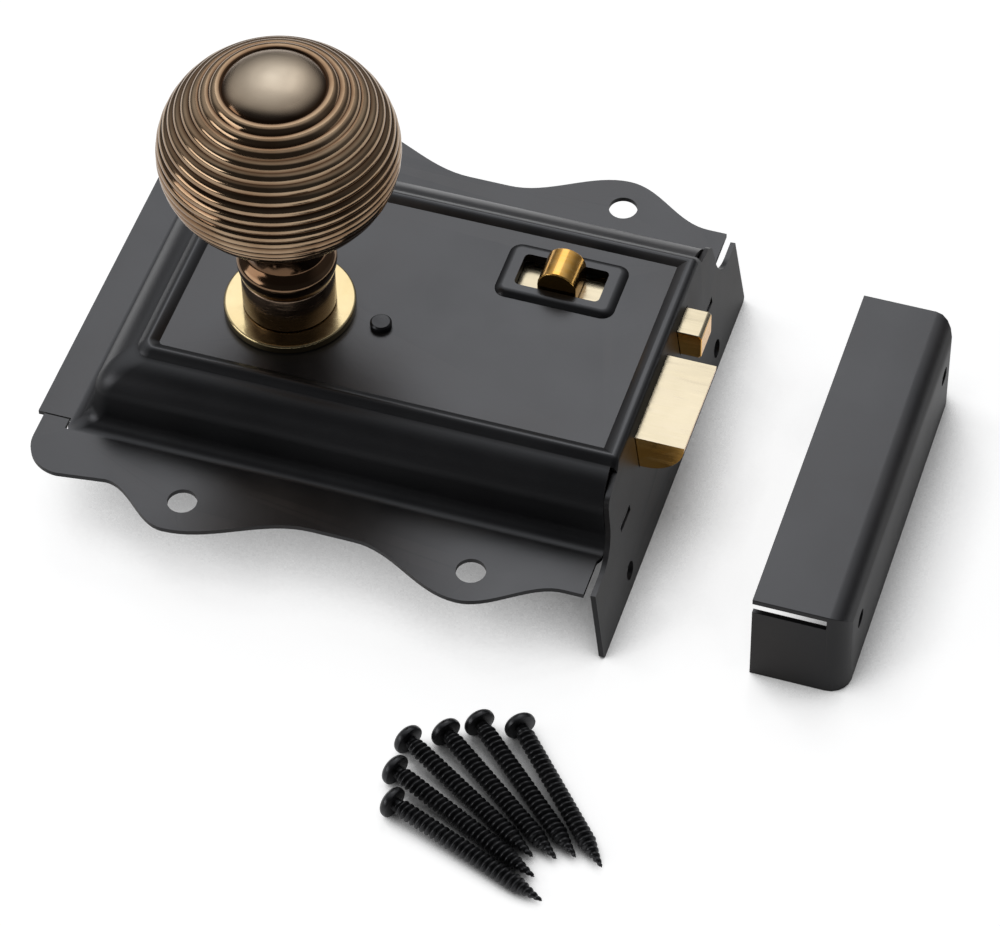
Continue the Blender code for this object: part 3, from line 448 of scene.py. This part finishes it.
for nodeName in ("back_plate", "back_plate_screw", "night_bolt_guide", "night_bolt_spring", "spindle",
                 "grub_screw", "follower", "latch_tail", "latch_pin", "spring_rod", "button_pin"):
    refinish(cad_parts[nodeName].data, plainSteel)


def makeSpring():
    spring = addObject("latch_spring_coiled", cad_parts["latch_spring"].data.copy(), plainSteel)
    putOn(spring, "latch_case", "plain_steel", "latch_spring")
    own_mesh(spring)


makeSpring()
print("inside pieces dressed")


# pressed case: one sheet drawn up to a beaded front, with flanges, folded over into the forend
caseSize = dict(
    sheet=1.2 * mm, gap=0.3 * mm, edge=0.28 * mm,
    left=-126.8 * mm, half=45.6 * mm, foot=4.0 * mm, draft=0.5 * mm, corner=4.5 * mm,
    shoulder=17.3 * mm, drop=8.5 * mm, panel=17.6 * mm,
    border=17.1 * mm, bead=4.6 * mm, beadRise=1.35 * mm, crest=-1.77 * mm, rightStretch=1.2,
    fold=1.6 * mm, splay=math.radians(7.0), forendHalf=57.0 * mm, forendCorner=3.0 * mm,
    turn=math.radians(72.0),
    footSteps=12, shoulderSteps=16, beadSteps=20, cornerSteps=9, foldSteps=8)
flangeSize = dict(
    right=-0.5 * mm, left=-133.4 * mm, base=56.9 * mm, rise=9.6 * mm, corner=9.0 * mm, steps=16,
    lobes=((-5.0 * mm, -27.0 * mm, -54.0 * mm), (-64.0 * mm, -96.0 * mm, -113.0 * mm)),
    stripLeft=-135.0 * mm, stripHalf=42.2 * mm, slit=0.4 * mm)
holeSize = dict(
    flangeX=(-94.2 * mm, -26.2 * mm), flangeY=57.8 * mm, flange=3.4 * mm,
    forendY=35.1 * mm, forendZ=-14.5 * mm, forend=2.25 * mm, tab=(29.7 * mm, 36.1 * mm), plate=1.2 * mm,
    bush=10.2 * mm, rivetX=-63.4 * mm, rivet=1.9 * mm, boltTop=14.0 * mm,
    mouths=((-20.6 * mm, 5.1 * mm, 4.7 * mm), (12.5 * mm, 20.6 * mm, 6.8 * mm)))
padSize = dict(x=-28.4 * mm, y=16.6 * mm, length=28.4 * mm, width=16.8 * mm, rise=1.2 * mm, corner=2.9 * mm,
               slope=2.2 * mm, slotLength=20.2 * mm, slotWidth=9.7 * mm, slotCorner=1.2 * mm)


def forendX(z):
    c = caseSize
    top = c["panel"] + c["beadRise"] - c["fold"]
    return c["crest"] + c["fold"] * math.cos(c["splay"]) + (top - z) * math.tan(c["splay"])


def caseSection():
    # inset, height and corner radius from the flange up the wall, over shoulder and bead to the panel
    c = caseSize
    section = []
    for i in range(c["footSteps"] + 1):
        share = i / c["footSteps"]
        a = math.pi / 2 * share ** 1.4
        radius = 1.0 * mm + (c["corner"] - 1.0 * mm) * share
        section.append((c["foot"] * math.sin(a), c["sheet"] + c["foot"] * (1 - math.cos(a)), radius))
    wallTop = c["foot"] + c["draft"]
    width = c["border"] - c["bead"] - wallTop
    for i in range(c["shoulderSteps"]):
        a = c["turn"] * i / c["shoulderSteps"]
        height = c["shoulder"] - c["drop"] * (1 - math.sin(a) / math.sin(c["turn"]))
        inset = wallTop + width * (1 - math.cos(a)) / (1 - math.cos(c["turn"]))
        section.append((inset, height, c["corner"]))
    for i in range(c["beadSteps"] + 1):
        share = i / c["beadSteps"]
        height = c["shoulder"] + (c["panel"] - c["shoulder"]) * share
        height += c["beadRise"] * (1 - abs(2 * share - 1) ** 1.5)
        section.append((c["border"] - c["bead"] * (1 - share), height, (3.6 - 2.6 * share) * mm))
    return section


def casePlan(inset, radius):
    # rounded on the left, square on the right, where the forend is folded
    c = caseSize
    left = c["left"] + inset
    right = c["crest"] + (c["border"] - c["bead"] / 2 - inset) * c["rightStretch"]
    half = c["half"] - inset
    points = [(right, -half), (right, half)]
    points += arcPoints(left + radius, half - radius, radius, 90, 180, c["cornerSteps"])
    points += arcPoints(left + radius, radius - half, radius, 180, 270, c["cornerSteps"])
    return points


def carryWalls(bm):
    # near and far walls run on to the back of the forend
    c = caseSize
    edges = [e for e in bm.edges if e.is_boundary and all(
        abs(v.co.x - c["crest"]) < 1e-6 and v.co.z < c["shoulder"] + 1e-6 for v in e.verts)]
    grown = bmesh.ops.extrude_edge_only(bm, edges=edges)["geom"]
    verts = [g for g in grown if isinstance(g, bmesh.types.BMVert)]
    for v in verts:
        v.co.x = forendX(v.co.z) - c["sheet"] - c["gap"]
    feet = [v for v in verts if v.co.z < c["sheet"] + 1e-6]
    return min(feet, key=lambda v: v.co.y), max(feet, key=lambda v: v.co.y)


def forendOutline():
    # far half below the fold, from the shoulder down to the lower corner
    c = caseSize
    wall = c["half"] - c["foot"]
    flare = 9.0 * mm
    side = wall - c["draft"] - c["forendCorner"]
    points = arcPoints(side, c["shoulder"] - 5.8 * mm, c["forendCorner"], 90, 0, 8)[1:]
    points.append((wall, flare))
    points += arcPoints(wall + flare, flare, flare, 180, 270, 12)[1:]
    points.append((c["forendHalf"] - 1.2 * mm, 0.0))
    corner = 1.0 * mm
    foot = c["sheet"] * math.sin(c["splay"]) - lift
    points += arcPoints(c["forendHalf"] - corner, foot + corner, corner, 0, -90, 6)
    return points


def foldForend(bm):
    c = caseSize
    edge = [e for e in bm.edges if e.is_boundary and all(
        abs(v.co.x - c["crest"]) < 1e-6 and v.co.z > c["shoulder"] - 1e-6 for v in e.verts)]
    start = {v: v.co.copy() for e in edge for v in e.verts}
    for i in range(c["foldSteps"]):
        a = (math.pi / 2 - c["splay"]) * (i + 1) / c["foldSteps"]
        grown = bmesh.ops.extrude_edge_only(bm, edges=edge)["geom"]
        moved = {}
        for v in [g for g in grown if isinstance(g, bmesh.types.BMVert)]:
            origin = min(start.values(), key=lambda co: abs(co.y - v.co.y))
            z = origin.z - c["fold"] * (1 - math.cos(a))
            x = c["crest"] + c["fold"] * math.sin(a)
            v.co = (forendX(z) if i == c["foldSteps"] - 1 else x, origin.y, z)
            moved[v] = origin
        start = moved
        edge = [e for e in bm.edges if all(v in moved for v in e.verts)]
    top = sorted(start, key=lambda v: v.co.y)
    far = [bm.verts.new((forendX(z), y, z)) for y, z in forendOutline()]
    near = [bm.verts.new((forendX(z), -y, z)) for y, z in reversed(forendOutline())]
    bm.faces.new(top + far + near)


def flangeEdge():
    # near flange from the forend to the left corner, with a lobe round each hole
    f = flangeSize
    points = [(f["right"], -f["base"])]
    for valley, lobe, nextValley in f["lobes"]:
        for start, end, low, high in ((valley, lobe, 0.0, f["rise"]), (lobe, nextValley, f["rise"], 0.0)):
            for i in range(f["steps"] + (high == 0.0)):
                share = i / f["steps"]
                rise = low + (high - low) * (1 - math.cos(math.pi * share)) / 2
                points.append((start + (end - start) * share, -f["base"] - rise))
    centreY = f["corner"] - f["base"] - 1.5 * mm
    return points + arcPoints(f["left"] + f["corner"], centreY, f["corner"], 270, 180, 16)


def addFlanges(bm, foot, wallFeet):
    c, f, n = caseSize, flangeSize, caseSize["cornerSteps"]
    farSide, farEnd, nearEnd, nearSide = foot[0], foot[n], foot[n + 1], foot[2 * n + 1]
    cutFeet = [v for v in bm.verts if abs(v.co.x - c["crest"]) < 1e-6 and abs(v.co.z - c["sheet"]) < 1e-6]
    nearCut = min(cutFeet, key=lambda v: v.co.y)
    farCut = max(cutFeet, key=lambda v: v.co.y)
    sides = ((1, nearSide, nearCut, wallFeet[0]), (-1, farSide, farCut, wallFeet[1]))
    for sign, left, cutFoot, wallFoot in sides:
        outline = [(f["right"], -c["half"] - 1.5 * mm)] + flangeEdge()
        outline.append((f["left"], -f["stripHalf"] - f["slit"]))
        outline.append((c["left"] - 0.5 * mm, -f["stripHalf"] - f["slit"]))
        outline.append((c["left"] - 0.5 * mm, -c["half"] + 0.3 * mm))
        verts = [bm.verts.new((x, sign * y, c["sheet"])) for x, y in outline]
        bm.faces.new([cutFoot, wallFoot] + verts + [left])
    inner, half = c["left"] - 0.2 * mm, f["stripHalf"]
    corners = ((inner, half), (f["stripLeft"], half), (f["stripLeft"], -half), (inner, -half))
    strip = [bm.verts.new((x, y, c["sheet"])) for x, y in corners]
    bm.faces.new([farEnd] + strip + [nearEnd])


def caseSheet():
    c = caseSize
    bm = bmesh.new()
    rings = []
    for inset, z, radius in caseSection():
        rings.append([bm.verts.new((x, y, z)) for x, y in casePlan(inset, radius)])
    joinRings(bm, rings)
    bm.faces.new(rings[-1])
    foot = rings[0][2:]
    everything = bm.verts[:] + bm.edges[:] + bm.faces[:]
    bmesh.ops.bisect_plane(bm, geom=everything, dist=1e-6, plane_co=(c["crest"], 0, 0),
                           plane_no=(1, 0, 0), clear_outer=True)
    wallFeet = carryWalls(bm)
    foldForend(bm)
    addFlanges(bm, foot, wallFeet)
    bmesh.ops.recalc_face_normals(bm, faces=bm.faces)
    bm.normal_update()
    panel = max(bm.faces, key=lambda f: f.calc_area() * (f.calc_center_median().z > c["shoulder"]))
    if panel.normal.z < 0:
        bmesh.ops.reverse_faces(bm, faces=bm.faces)
    mesh = bpy.data.meshes.new("case")
    bm.to_mesh(mesh)
    bm.free()
    return mesh


def padMesh():
    # raised pad round the thumb slot, with sloped sides rounded over at the top
    p, base = padSize, caseSize["panel"]
    levels = [(0.0, -0.6 * mm)]
    for i in range(13):
        share = i / 12
        levels.append((p["slope"] * share, p["rise"] * (1 - (1 - share) ** 2.2) + 0.1 * mm * (1 - share)))
    stack = []
    for inset, rise in levels:
        length, width = p["length"] - 2 * inset, p["width"] - 2 * inset
        stack.append((roundPlan(p["x"], p["y"], length, width, p["corner"] - inset, 8), base + rise))
    return stackMesh("pad", stack)


def makeCase():
    c, h, p = caseSize, holeSize, padSize
    case = addObject("case_pressed", caseSheet(), blackLacquer)
    skin = case.modifiers.new("sheet", 'SOLIDIFY')
    skin.thickness = c["sheet"]
    skin.offset = -1.0
    skin.use_even_offset = True
    cut(case, padMesh(), 'UNION')
    slot = roundPlan(p["x"], p["y"], p["slotLength"], p["slotWidth"], p["slotCorner"], 6)
    cut(case, stackMesh("slot", [(slot, c["panel"] - 4 * mm), (slot, c["panel"] + 4 * mm)]))
    cut(case, pinMesh((knobX, lineY, c["panel"]), h["bush"], 10 * mm))
    cut(case, pinMesh((h["rivetX"], lineY, c["panel"]), h["rivet"], 10 * mm))
    for sign in (-1, 1):
        for x in h["flangeX"]:
            cut(case, pinMesh((x, sign * h["flangeY"], 0.0), h["flange"], 10 * mm))
        hole = (forendX(h["forendZ"]), sign * h["forendY"], h["forendZ"])
        cut(case, pinMesh(hole, h["forend"], 12 * mm, True))
        low, high = sorted((sign * (h["tab"][0] - c["gap"]), sign * (h["tab"][1] + c["gap"])))
        cut(case, boxMesh((-6 * mm, low, -c["gap"]), (8 * mm, high, h["plate"] + c["gap"])))
    for low, high, bottom in h["mouths"]:
        gap = c["gap"]
        cut(case, boxMesh((-8 * mm, low - gap, bottom - gap), (8 * mm, high + gap, h["boltTop"] + gap)))
    refinish(case.data, blackLacquer)
    case.data.shade_smooth()
    softEdges(case, c["edge"], 2, 27.0)
    case.matrix_world = toLatch
    putOn(case, "latch_case", "black_steel", "case")


makeCase()
print("case pressed")

for nodeName, edge, finish in (("keep", 0.28, blackLacquer), ("case_post", 0.4, screwBlack)):
    obj = softCopy(nodeName, nodeName + "_pressed", edge * mm, finish)
    putOn(obj, "latch_case", "black_steel", nodeName)
print("keep and rivet dressed")


# bolts and thumb button: one brass in two copies split by how light falls, a pale copy on the faces that look
# up as a painted highlight and a deeper golden copy on the sides; no face of the thumb button passes its
# limit, so it is all the golden copy
boltLook = [
    dict(node="latch_bolt", body="latch_slider", edge=0.35, up=0.5),
    dict(node="night_bolt", body="night_bolt_slider", edge=0.30, up=0.5),
    dict(node="thumb_button", body="night_bolt_slider", edge=0.35, up=2.0),
]


def makeBolts():
    for look in boltLook:
        obj = softCopy(look["node"], look["node"] + "_lit_top_and_sides", look["edge"] * mm, brassSide, brassLitTop)
        # faces that look up get the pale copy, a painted highlight; the others get the golden copy
        for face in obj.data.polygons:
            face.material_index = int(face.normal.z > look["up"])
        putOn(obj, look["body"], "polished_brass", look["node"])


makeBolts()
print("bolts dressed")


# knob, sleeve and rose
knobSize = dict(radius=27.0 * mm, half=22.5 * mm, middle=68.0 * mm, cap=11.0 * mm, capSink=0.9 * mm,
                reeds=21, depth=0.52 * mm, perReed=14, groove=0.007, sides=128, neck=9.0 * mm,
                collar=11.4 * mm, collarLow=30.5 * mm, collarHeight=4.6 * mm, cove=2.4 * mm,
                spindle=8.0 * mm, bore=57.9 * mm, grub=1.9 * mm)


def ballPoint(angle, depth=0.0):
    k = knobSize
    across, up = math.sin(angle), math.cos(angle)
    normal = Vector((across / k["radius"], up / k["half"])).normalized()
    return (k["radius"] * across - normal.x * depth, k["middle"] + k["half"] * up - normal.y * depth)


def reedPoints(start, end):
    # half-round reeds of even angle round the ball
    k = knobSize
    points = []
    for i in range(k["reeds"] * k["perReed"]):
        bulge = math.sin(math.pi * (i % k["perReed"]) / k["perReed"])
        angle = start + (end - start) * i / (k["reeds"] * k["perReed"])
        points.append(ballPoint(angle, k["depth"] * (1.0 - bulge)))
    return points


def knobProfile():
    k = knobSize
    capEdge = math.asin(k["cap"] / k["radius"]) + 0.033
    points = [(0.0, k["middle"] + k["half"])]
    for i in range(1, 29):
        points.append(ballPoint(capEdge * i / 28, k["capSink"] * (i / 28) ** 6))
    under = math.pi - math.asin((k["neck"] + 1.2 * mm) / k["radius"])
    points += reedPoints(capEdge + k["groove"], under)
    rim = k["collarLow"] + k["collarHeight"]
    points.append((k["neck"], k["middle"] - k["half"] + 0.6 * mm))
    top, belly = rim + k["cove"], rim - 1.1 * mm
    for i in range(1, 15):
        out = (1 - math.cos(math.pi * i / 14)) / 2
        points.append((k["neck"] + (k["collar"] - k["neck"]) * out, top - (top - belly) * i / 14))
    swell = k["collar"] - 10.8 * mm
    for i in range(1, 11):
        share = i / 10
        points.append((k["collar"] - swell * share ** 2, belly - (belly - k["collarLow"]) * share))
    points.append((0.0, k["collarLow"]))
    return points


def markCrests(mesh):
    # how far each point stands up between groove and crest, for the patina in the grooves and, under the
    # ball, for painted shade; and how near the top of the cap it is, for a painted highlight there that also
    # turns the cap satin
    k = knobSize
    crest = mesh.attributes.new("crest", 'FLOAT', 'POINT')
    capHighlight = mesh.attributes.new("capHighlight", 'FLOAT', 'POINT')
    for v in mesh.vertices:
        across, up = math.hypot(v.co.x, v.co.y), v.co.z - k["middle"]
        level = math.hypot(across / k["radius"], up / k["half"])
        sunk = (1.0 - level) * math.hypot(across, up) / max(level, 0.1)
        value = 1.0 - sunk / k["depth"]
        # under the ball the neck and collar get a low value, painted shade, with the collar's band a little
        # lighter
        if v.co.z < k["middle"] - k["half"] + 1.0 * mm:
            value = 0.12 + 0.16 * (across > k["collar"] - 0.7 * mm)
        crest.data[v.index].value = min(max(value, 0.0), 1.0)
        # strength of the painted highlight on the cap, fading out to the cap's edge
        capHighlight.data[v.index].value = max(0.0, 1.0 - across / k["cap"]) ** 0.5 * (up > 0.0)


def makeKnob():
    k = knobSize
    knob = addObject("knob_turned", latheMesh("knob", knobProfile(), k["sides"]), agedBrass)
    half = k["spindle"] / 2
    cut(knob, boxMesh((-half, -half, 0.0), (half, half, k["bore"])))
    grubHole = pinMesh((0.0, 0.0, 10 * mm), k["grub"], 16 * mm, sides=24)
    grubHole.transform(Matrix.Rotation(-math.pi / 2, 4, 'X'))
    grubHole.transform(Matrix.Translation((0.0, 0.0, k["collarLow"] + k["collarHeight"] / 2)))
    cut(knob, grubHole)
    markCrests(knob.data)
    refinish(knob.data, agedBrass)
    smoothShade(knob.data)
    knob.matrix_world = toKnob
    putOn(knob, "knob_set", "aged_brass", "knob")


sleeveSize = dict(radius=10.7 * mm, bore=6.4 * mm, low=20.2 * mm, high=30.2 * mm, round=0.4 * mm)
roseSize = dict(radius=15.1 * mm, low=17.9 * mm, thick=2.0 * mm, bush=9.9 * mm, bore=7.9 * mm, foot=15.2 * mm,
                round=0.6 * mm)


def makeSleeve():
    s = sleeveSize
    profile = [(s["bore"], s["high"])]
    profile += arcPoints(s["radius"] - s["round"], s["high"] - s["round"], s["round"], 90, 0, 6)
    profile += arcPoints(s["radius"] - s["round"] / 2, s["low"] + s["round"] / 2, s["round"] / 2, 0, -90, 4)
    profile.append((s["bore"], s["low"]))
    sleeve = addObject("neck_sleeve_turned", latheMesh("neck_sleeve", profile, 128), darkBrass)
    smoothShade(sleeve.data)
    sleeve.matrix_world = toKnob
    putOn(sleeve, "knob_set", "aged_brass", "neck_sleeve")


def makeRose():
    r = roseSize
    high = r["low"] + r["thick"]
    profile = [(r["bore"], high), (r["radius"] - r["round"] - 0.3 * mm, high)]
    profile += arcPoints(r["radius"] - r["round"], high - r["round"], r["round"], 90, 0, 10)
    profile += [(r["radius"], r["low"]), (r["bush"], r["low"])]
    profile += [(r["bush"], r["foot"]), (r["bore"], r["foot"])]
    rose = addObject("rose_turned", latheMesh("rose", profile, 128), roseBrass)
    smoothShade(rose.data)
    rose.matrix_world = toKnob
    putOn(rose, "latch_case", "polished_brass", "rose")


makeKnob()
makeSleeve()
makeRose()
print("knob, sleeve and rose turned")


# wood screws, each as x, y under the head in mm and the heading of its point in degrees
screwSize = dict(length=40.0 * mm, shank=2.1 * mm, head=3.6 * mm, headHigh=2.6 * mm, core=1.45 * mm,
                 crest=2.07 * mm, pitch=1.38 * mm, point=7.0 * mm, plain=0.8 * mm, sides=24, perTurn=10,
                 recess=2.1 * mm, recessDeep=1.6 * mm,
                 layout=((-26.4, -110.9, -19.9), (-28.7, -102.5, -24.4), (-28.7, -93.9, -30.3),
                         (-21.5, -89.6, -36.1), (-15.3, -85.0, -41.5), (-6.6, -83.2, -46.8)))


def threadRadius(along, phase):
    # a broad round ridge, running out under the head and into the point
    s = screwSize
    ridge = math.sin(math.pi * min(max((phase - 0.08) / 0.84, 0.0), 1.0)) ** 0.7
    ridge *= min(1.0, max(0.0, (along - s["plain"]) / s["pitch"]))
    left = s["length"] - along
    taper = min(1.0, 0.16 + 0.84 * left / s["point"])
    if left < 0.3 * mm:
        taper = 0.08
    return (s["core"] + (s["crest"] - s["core"]) * ridge) * taper


def screwMesh():
    # rows follow the thread, so its crest is a clean line
    s = screwSize
    sides, per = s["sides"], s["perTurn"]
    turns = [2 * math.pi * j / sides for j in range(sides)]
    step = s["pitch"] / per
    rows = int(s["length"] / step) + 2 * per + 1
    bm = bmesh.new()
    grid = []
    for i in range(rows):
        row = []
        for j, a in enumerate(turns):
            along = min(max((i + per * j / sides) * step - s["pitch"], 0.0), s["length"])
            radius = threadRadius(along, (i % per) / per)
            row.append(bm.verts.new((radius * math.cos(a), radius * math.sin(a), -along)))
        grid.append(row)
    for i in range(rows - 1):
        for j in range(sides):
            if j < sides - 1:
                bm.faces.new((grid[i][j], grid[i][j + 1], grid[i + 1][j + 1], grid[i + 1][j]))
            elif i + 1 + per < rows:
                bm.faces.new((grid[i][j], grid[i + per][0], grid[i + 1 + per][0], grid[i + 1][j]))
    profile = [(s["head"] - 0.3 * mm, 0.0), (s["head"] - 0.08 * mm, 0.1 * mm), (s["head"], 0.35 * mm)]
    for i in range(10):
        a = math.pi / 2 * i / 10
        profile.append((s["head"] * math.cos(a) ** 0.8, s["headHigh"] * (0.32 + 0.68 * math.sin(a))))
    rings = [grid[0]]
    for radius, z in profile:
        rings.append([bm.verts.new((radius * math.cos(a), radius * math.sin(a), z)) for a in turns])
    joinRings(bm, rings)
    top = bm.verts.new((0.0, 0.0, s["headHigh"]))
    for j in range(sides):
        bm.faces.new((rings[-1][j], rings[-1][(j + 1) % sides], top))
    bmesh.ops.remove_doubles(bm, verts=bm.verts, dist=2e-6)
    bmesh.ops.holes_fill(bm, edges=[e for e in bm.edges if e.is_boundary], sides=0)
    return meshFrom(bm, "wood_screw")


def crossMesh():
    # cross recess, narrower at its bottom
    s = screwSize
    arm, wide = s["recess"], 0.5 * mm
    outline = []
    for turn in range(4):
        c, n = ((1, 0), (0, 1), (-1, 0), (0, -1))[turn]
        for x, y in ((arm, -wide), (arm, wide), (wide, wide)):
            outline.append((x * c - y * n, x * n + y * c))
    levels = []
    for grow, z in ((0.45, s["headHigh"] - s["recessDeep"]), (1.3, s["headHigh"] + 1.0 * mm)):
        levels.append(([(x * grow, y * grow) for x, y in outline], z))
    return stackMesh("cross", levels)


def makeScrews():
    s = screwSize
    dip = math.asin((s["head"] - s["shank"]) / (s["length"] - s["point"]))
    pattern = addObject("pattern", screwMesh(), screwBlack)
    cut(pattern, crossMesh())
    refinish(pattern.data, screwBlack)
    smoothShade(pattern.data)
    lean = Matrix.Rotation(math.radians(-90.0) + dip, 4, 'Y')
    for number, (x, y, heading) in enumerate(s["layout"], start=1):
        screw = addObject(f"wood_screw_{number}_cut", pattern.data.copy(), screwBlack)
        spin = Matrix.Rotation(math.radians(47.0 * number), 4, 'Z')
        turn = Matrix.Rotation(math.radians(heading), 4, 'Z')
        place = Matrix.Translation((x * mm, y * mm, s["head"] * math.cos(dip) - lift))
        screw.data.transform(toLatch @ place @ turn @ lean @ spin)
        putOn(screw, "latch_case", "black_steel", f"wood_screw_{number}")
    bpy.data.objects.remove(pattern)


makeScrews()
print("screws cut")


# floor: white in the open from its own glow, with a painted shadow where that glow fades near the pieces,
# falling to the right and front
floorLook = dict(size=4.0, colour=(0.36, 0.362, 0.365), lift=0.88, reach=32.0 * mm,
                 shadowTilt=(-0.24, 0.12, 0.963), shade=0.33, open=0.70)


def makeFloorFinish():
    finish, tree, shader = startFinish("pale paper floor")
    grain = addNoise(tree, 900.0, 2.0)
    pale = floorLook["colour"]
    tone = addRamp(tree, grain, (0.3, 0.7), tuple(c * 0.985 for c in pale), pale)
    tree.links.new(tone, shader.inputs["Base Color"])
    shader.inputs["Roughness"].default_value = 0.8
    shader.inputs["Specular IOR Level"].default_value = 0.1
    path = tree.nodes.new("ShaderNodeLightPath")
    seen = addMath(tree, 'MAXIMUM', path.outputs["Is Camera Ray"], path.outputs["Is Glossy Ray"])
    seen = addMath(tree, 'MAXIMUM', seen, path.outputs["Is Transmission Ray"])
    shadowTilt = tree.nodes.new("ShaderNodeCombineXYZ")
    for socket, value in zip(shadowTilt.inputs, floorLook["shadowTilt"]):
        socket.default_value = value
    # ambient occlusion, tilted toward the left and back, that paints the shadow into the floor's glow
    near = tree.nodes.new("ShaderNodeAmbientOcclusion")
    near.samples = 8
    near.inputs["Distance"].default_value = floorLook["reach"]
    tree.links.new(shadowTilt.outputs["Vector"], near.inputs["Normal"])
    white = addRange(tree, near.outputs["AO"], floorLook["shade"], floorLook["open"], 0.0, floorLook["lift"])
    shader.inputs["Emission Color"].default_value = (1.0, 1.0, 1.0, 1.0)
    tree.links.new(addMath(tree, 'MULTIPLY', white, seen), shader.inputs["Emission Strength"])
    return finish


def makeFloor():
    bm = bmesh.new()
    bmesh.ops.create_grid(bm, x_segments=4, y_segments=4, size=floorLook["size"])
    floor = addObject("floor", meshFrom(bm, "floor"), makeFloorFinish())
    floor.location.z = cadLow.z - 0.02 * mm


lampLook = [
    dict(name="back softbox", place=(-0.30, 0.86, 1.06), wide=0.66, tall=0.66, watts=1.5),
    dict(name="left strip", place=(-1.10, -0.66, 0.58), wide=1.0, tall=0.50, watts=5.0),
]


def makeLamps():
    for look in lampLook:
        lamp = bpy.data.lights.new(look["name"], 'AREA')
        lamp.shape = 'RECTANGLE'
        lamp.size = look["wide"]
        lamp.size_y = look["tall"]
        lamp.energy = look["watts"]
        obj = bpy.data.objects.new(look["name"], lamp)
        obj.location = look["place"]
        aim = Vector((0.0, 0.0, lift)) - obj.location
        obj.rotation_euler = aim.to_track_quat('-Z', 'Y').to_euler()
        bpy.context.scene.collection.objects.link(obj)


worldLook = dict(overhead=(0.70, 0.71, 0.72), low=(0.16, 0.16, 0.165), right=(0.15, 0.15, 0.155),
                 front=(0.050, 0.050, 0.052))


def makeWorld():
    world = bpy.data.worlds.new("studio")
    bpy.context.scene.world = world
    world.use_nodes = True
    tree = world.node_tree
    coords = tree.nodes.new("ShaderNodeTexCoord")
    split = tree.nodes.new("ShaderNodeSeparateXYZ")
    tree.links.new(coords.outputs["Generated"], split.inputs["Vector"])
    rise = addRange(tree, split.outputs["Z"], 0.18, 0.62, 0.0, 1.0)
    toRight = addRange(tree, split.outputs["X"], 0.15, 0.7, 0.0, 1.0)
    toFront = addRange(tree, split.outputs["Y"], -0.25, 0.15, 1.0, 0.0)
    tone = addMix(tree, rise, worldLook["low"], worldLook["overhead"])
    tone = addMix(tree, toRight, tone, worldLook["right"])
    tone = addMix(tree, toFront, tone, worldLook["front"])
    tree.links.new(tone, tree.nodes["Background"].inputs["Color"])


cameraLook = dict(place=(183.8 * mm, -647.9 * mm, 771.6 * mm), right=(0.95140, 0.30757, -0.01540),
                  up=(-0.22452, 0.72699, 0.64890), lens=161.98)


def makeCamera():
    data = bpy.data.cameras.new("camera")
    data.sensor_fit = 'HORIZONTAL'
    data.sensor_width = 36.0
    data.lens = cameraLook["lens"]
    data.clip_end = 20.0
    camera = bpy.data.objects.new("camera", data)
    bpy.context.scene.collection.objects.link(camera)
    right = Vector(cameraLook["right"]).normalized()
    back = right.cross(Vector(cameraLook["up"])).normalized()
    up = back.cross(right)
    turn = Matrix((right, up, back)).transposed().to_4x4()
    camera.matrix_world = Matrix.Translation(latchOrigin + Vector(cameraLook["place"])) @ turn
    bpy.context.scene.camera = camera


makeFloor()
makeLamps()
makeWorld()
makeCamera()
bpy.context.scene.view_settings.view_transform = 'Standard'
print("floor, light and camera set")
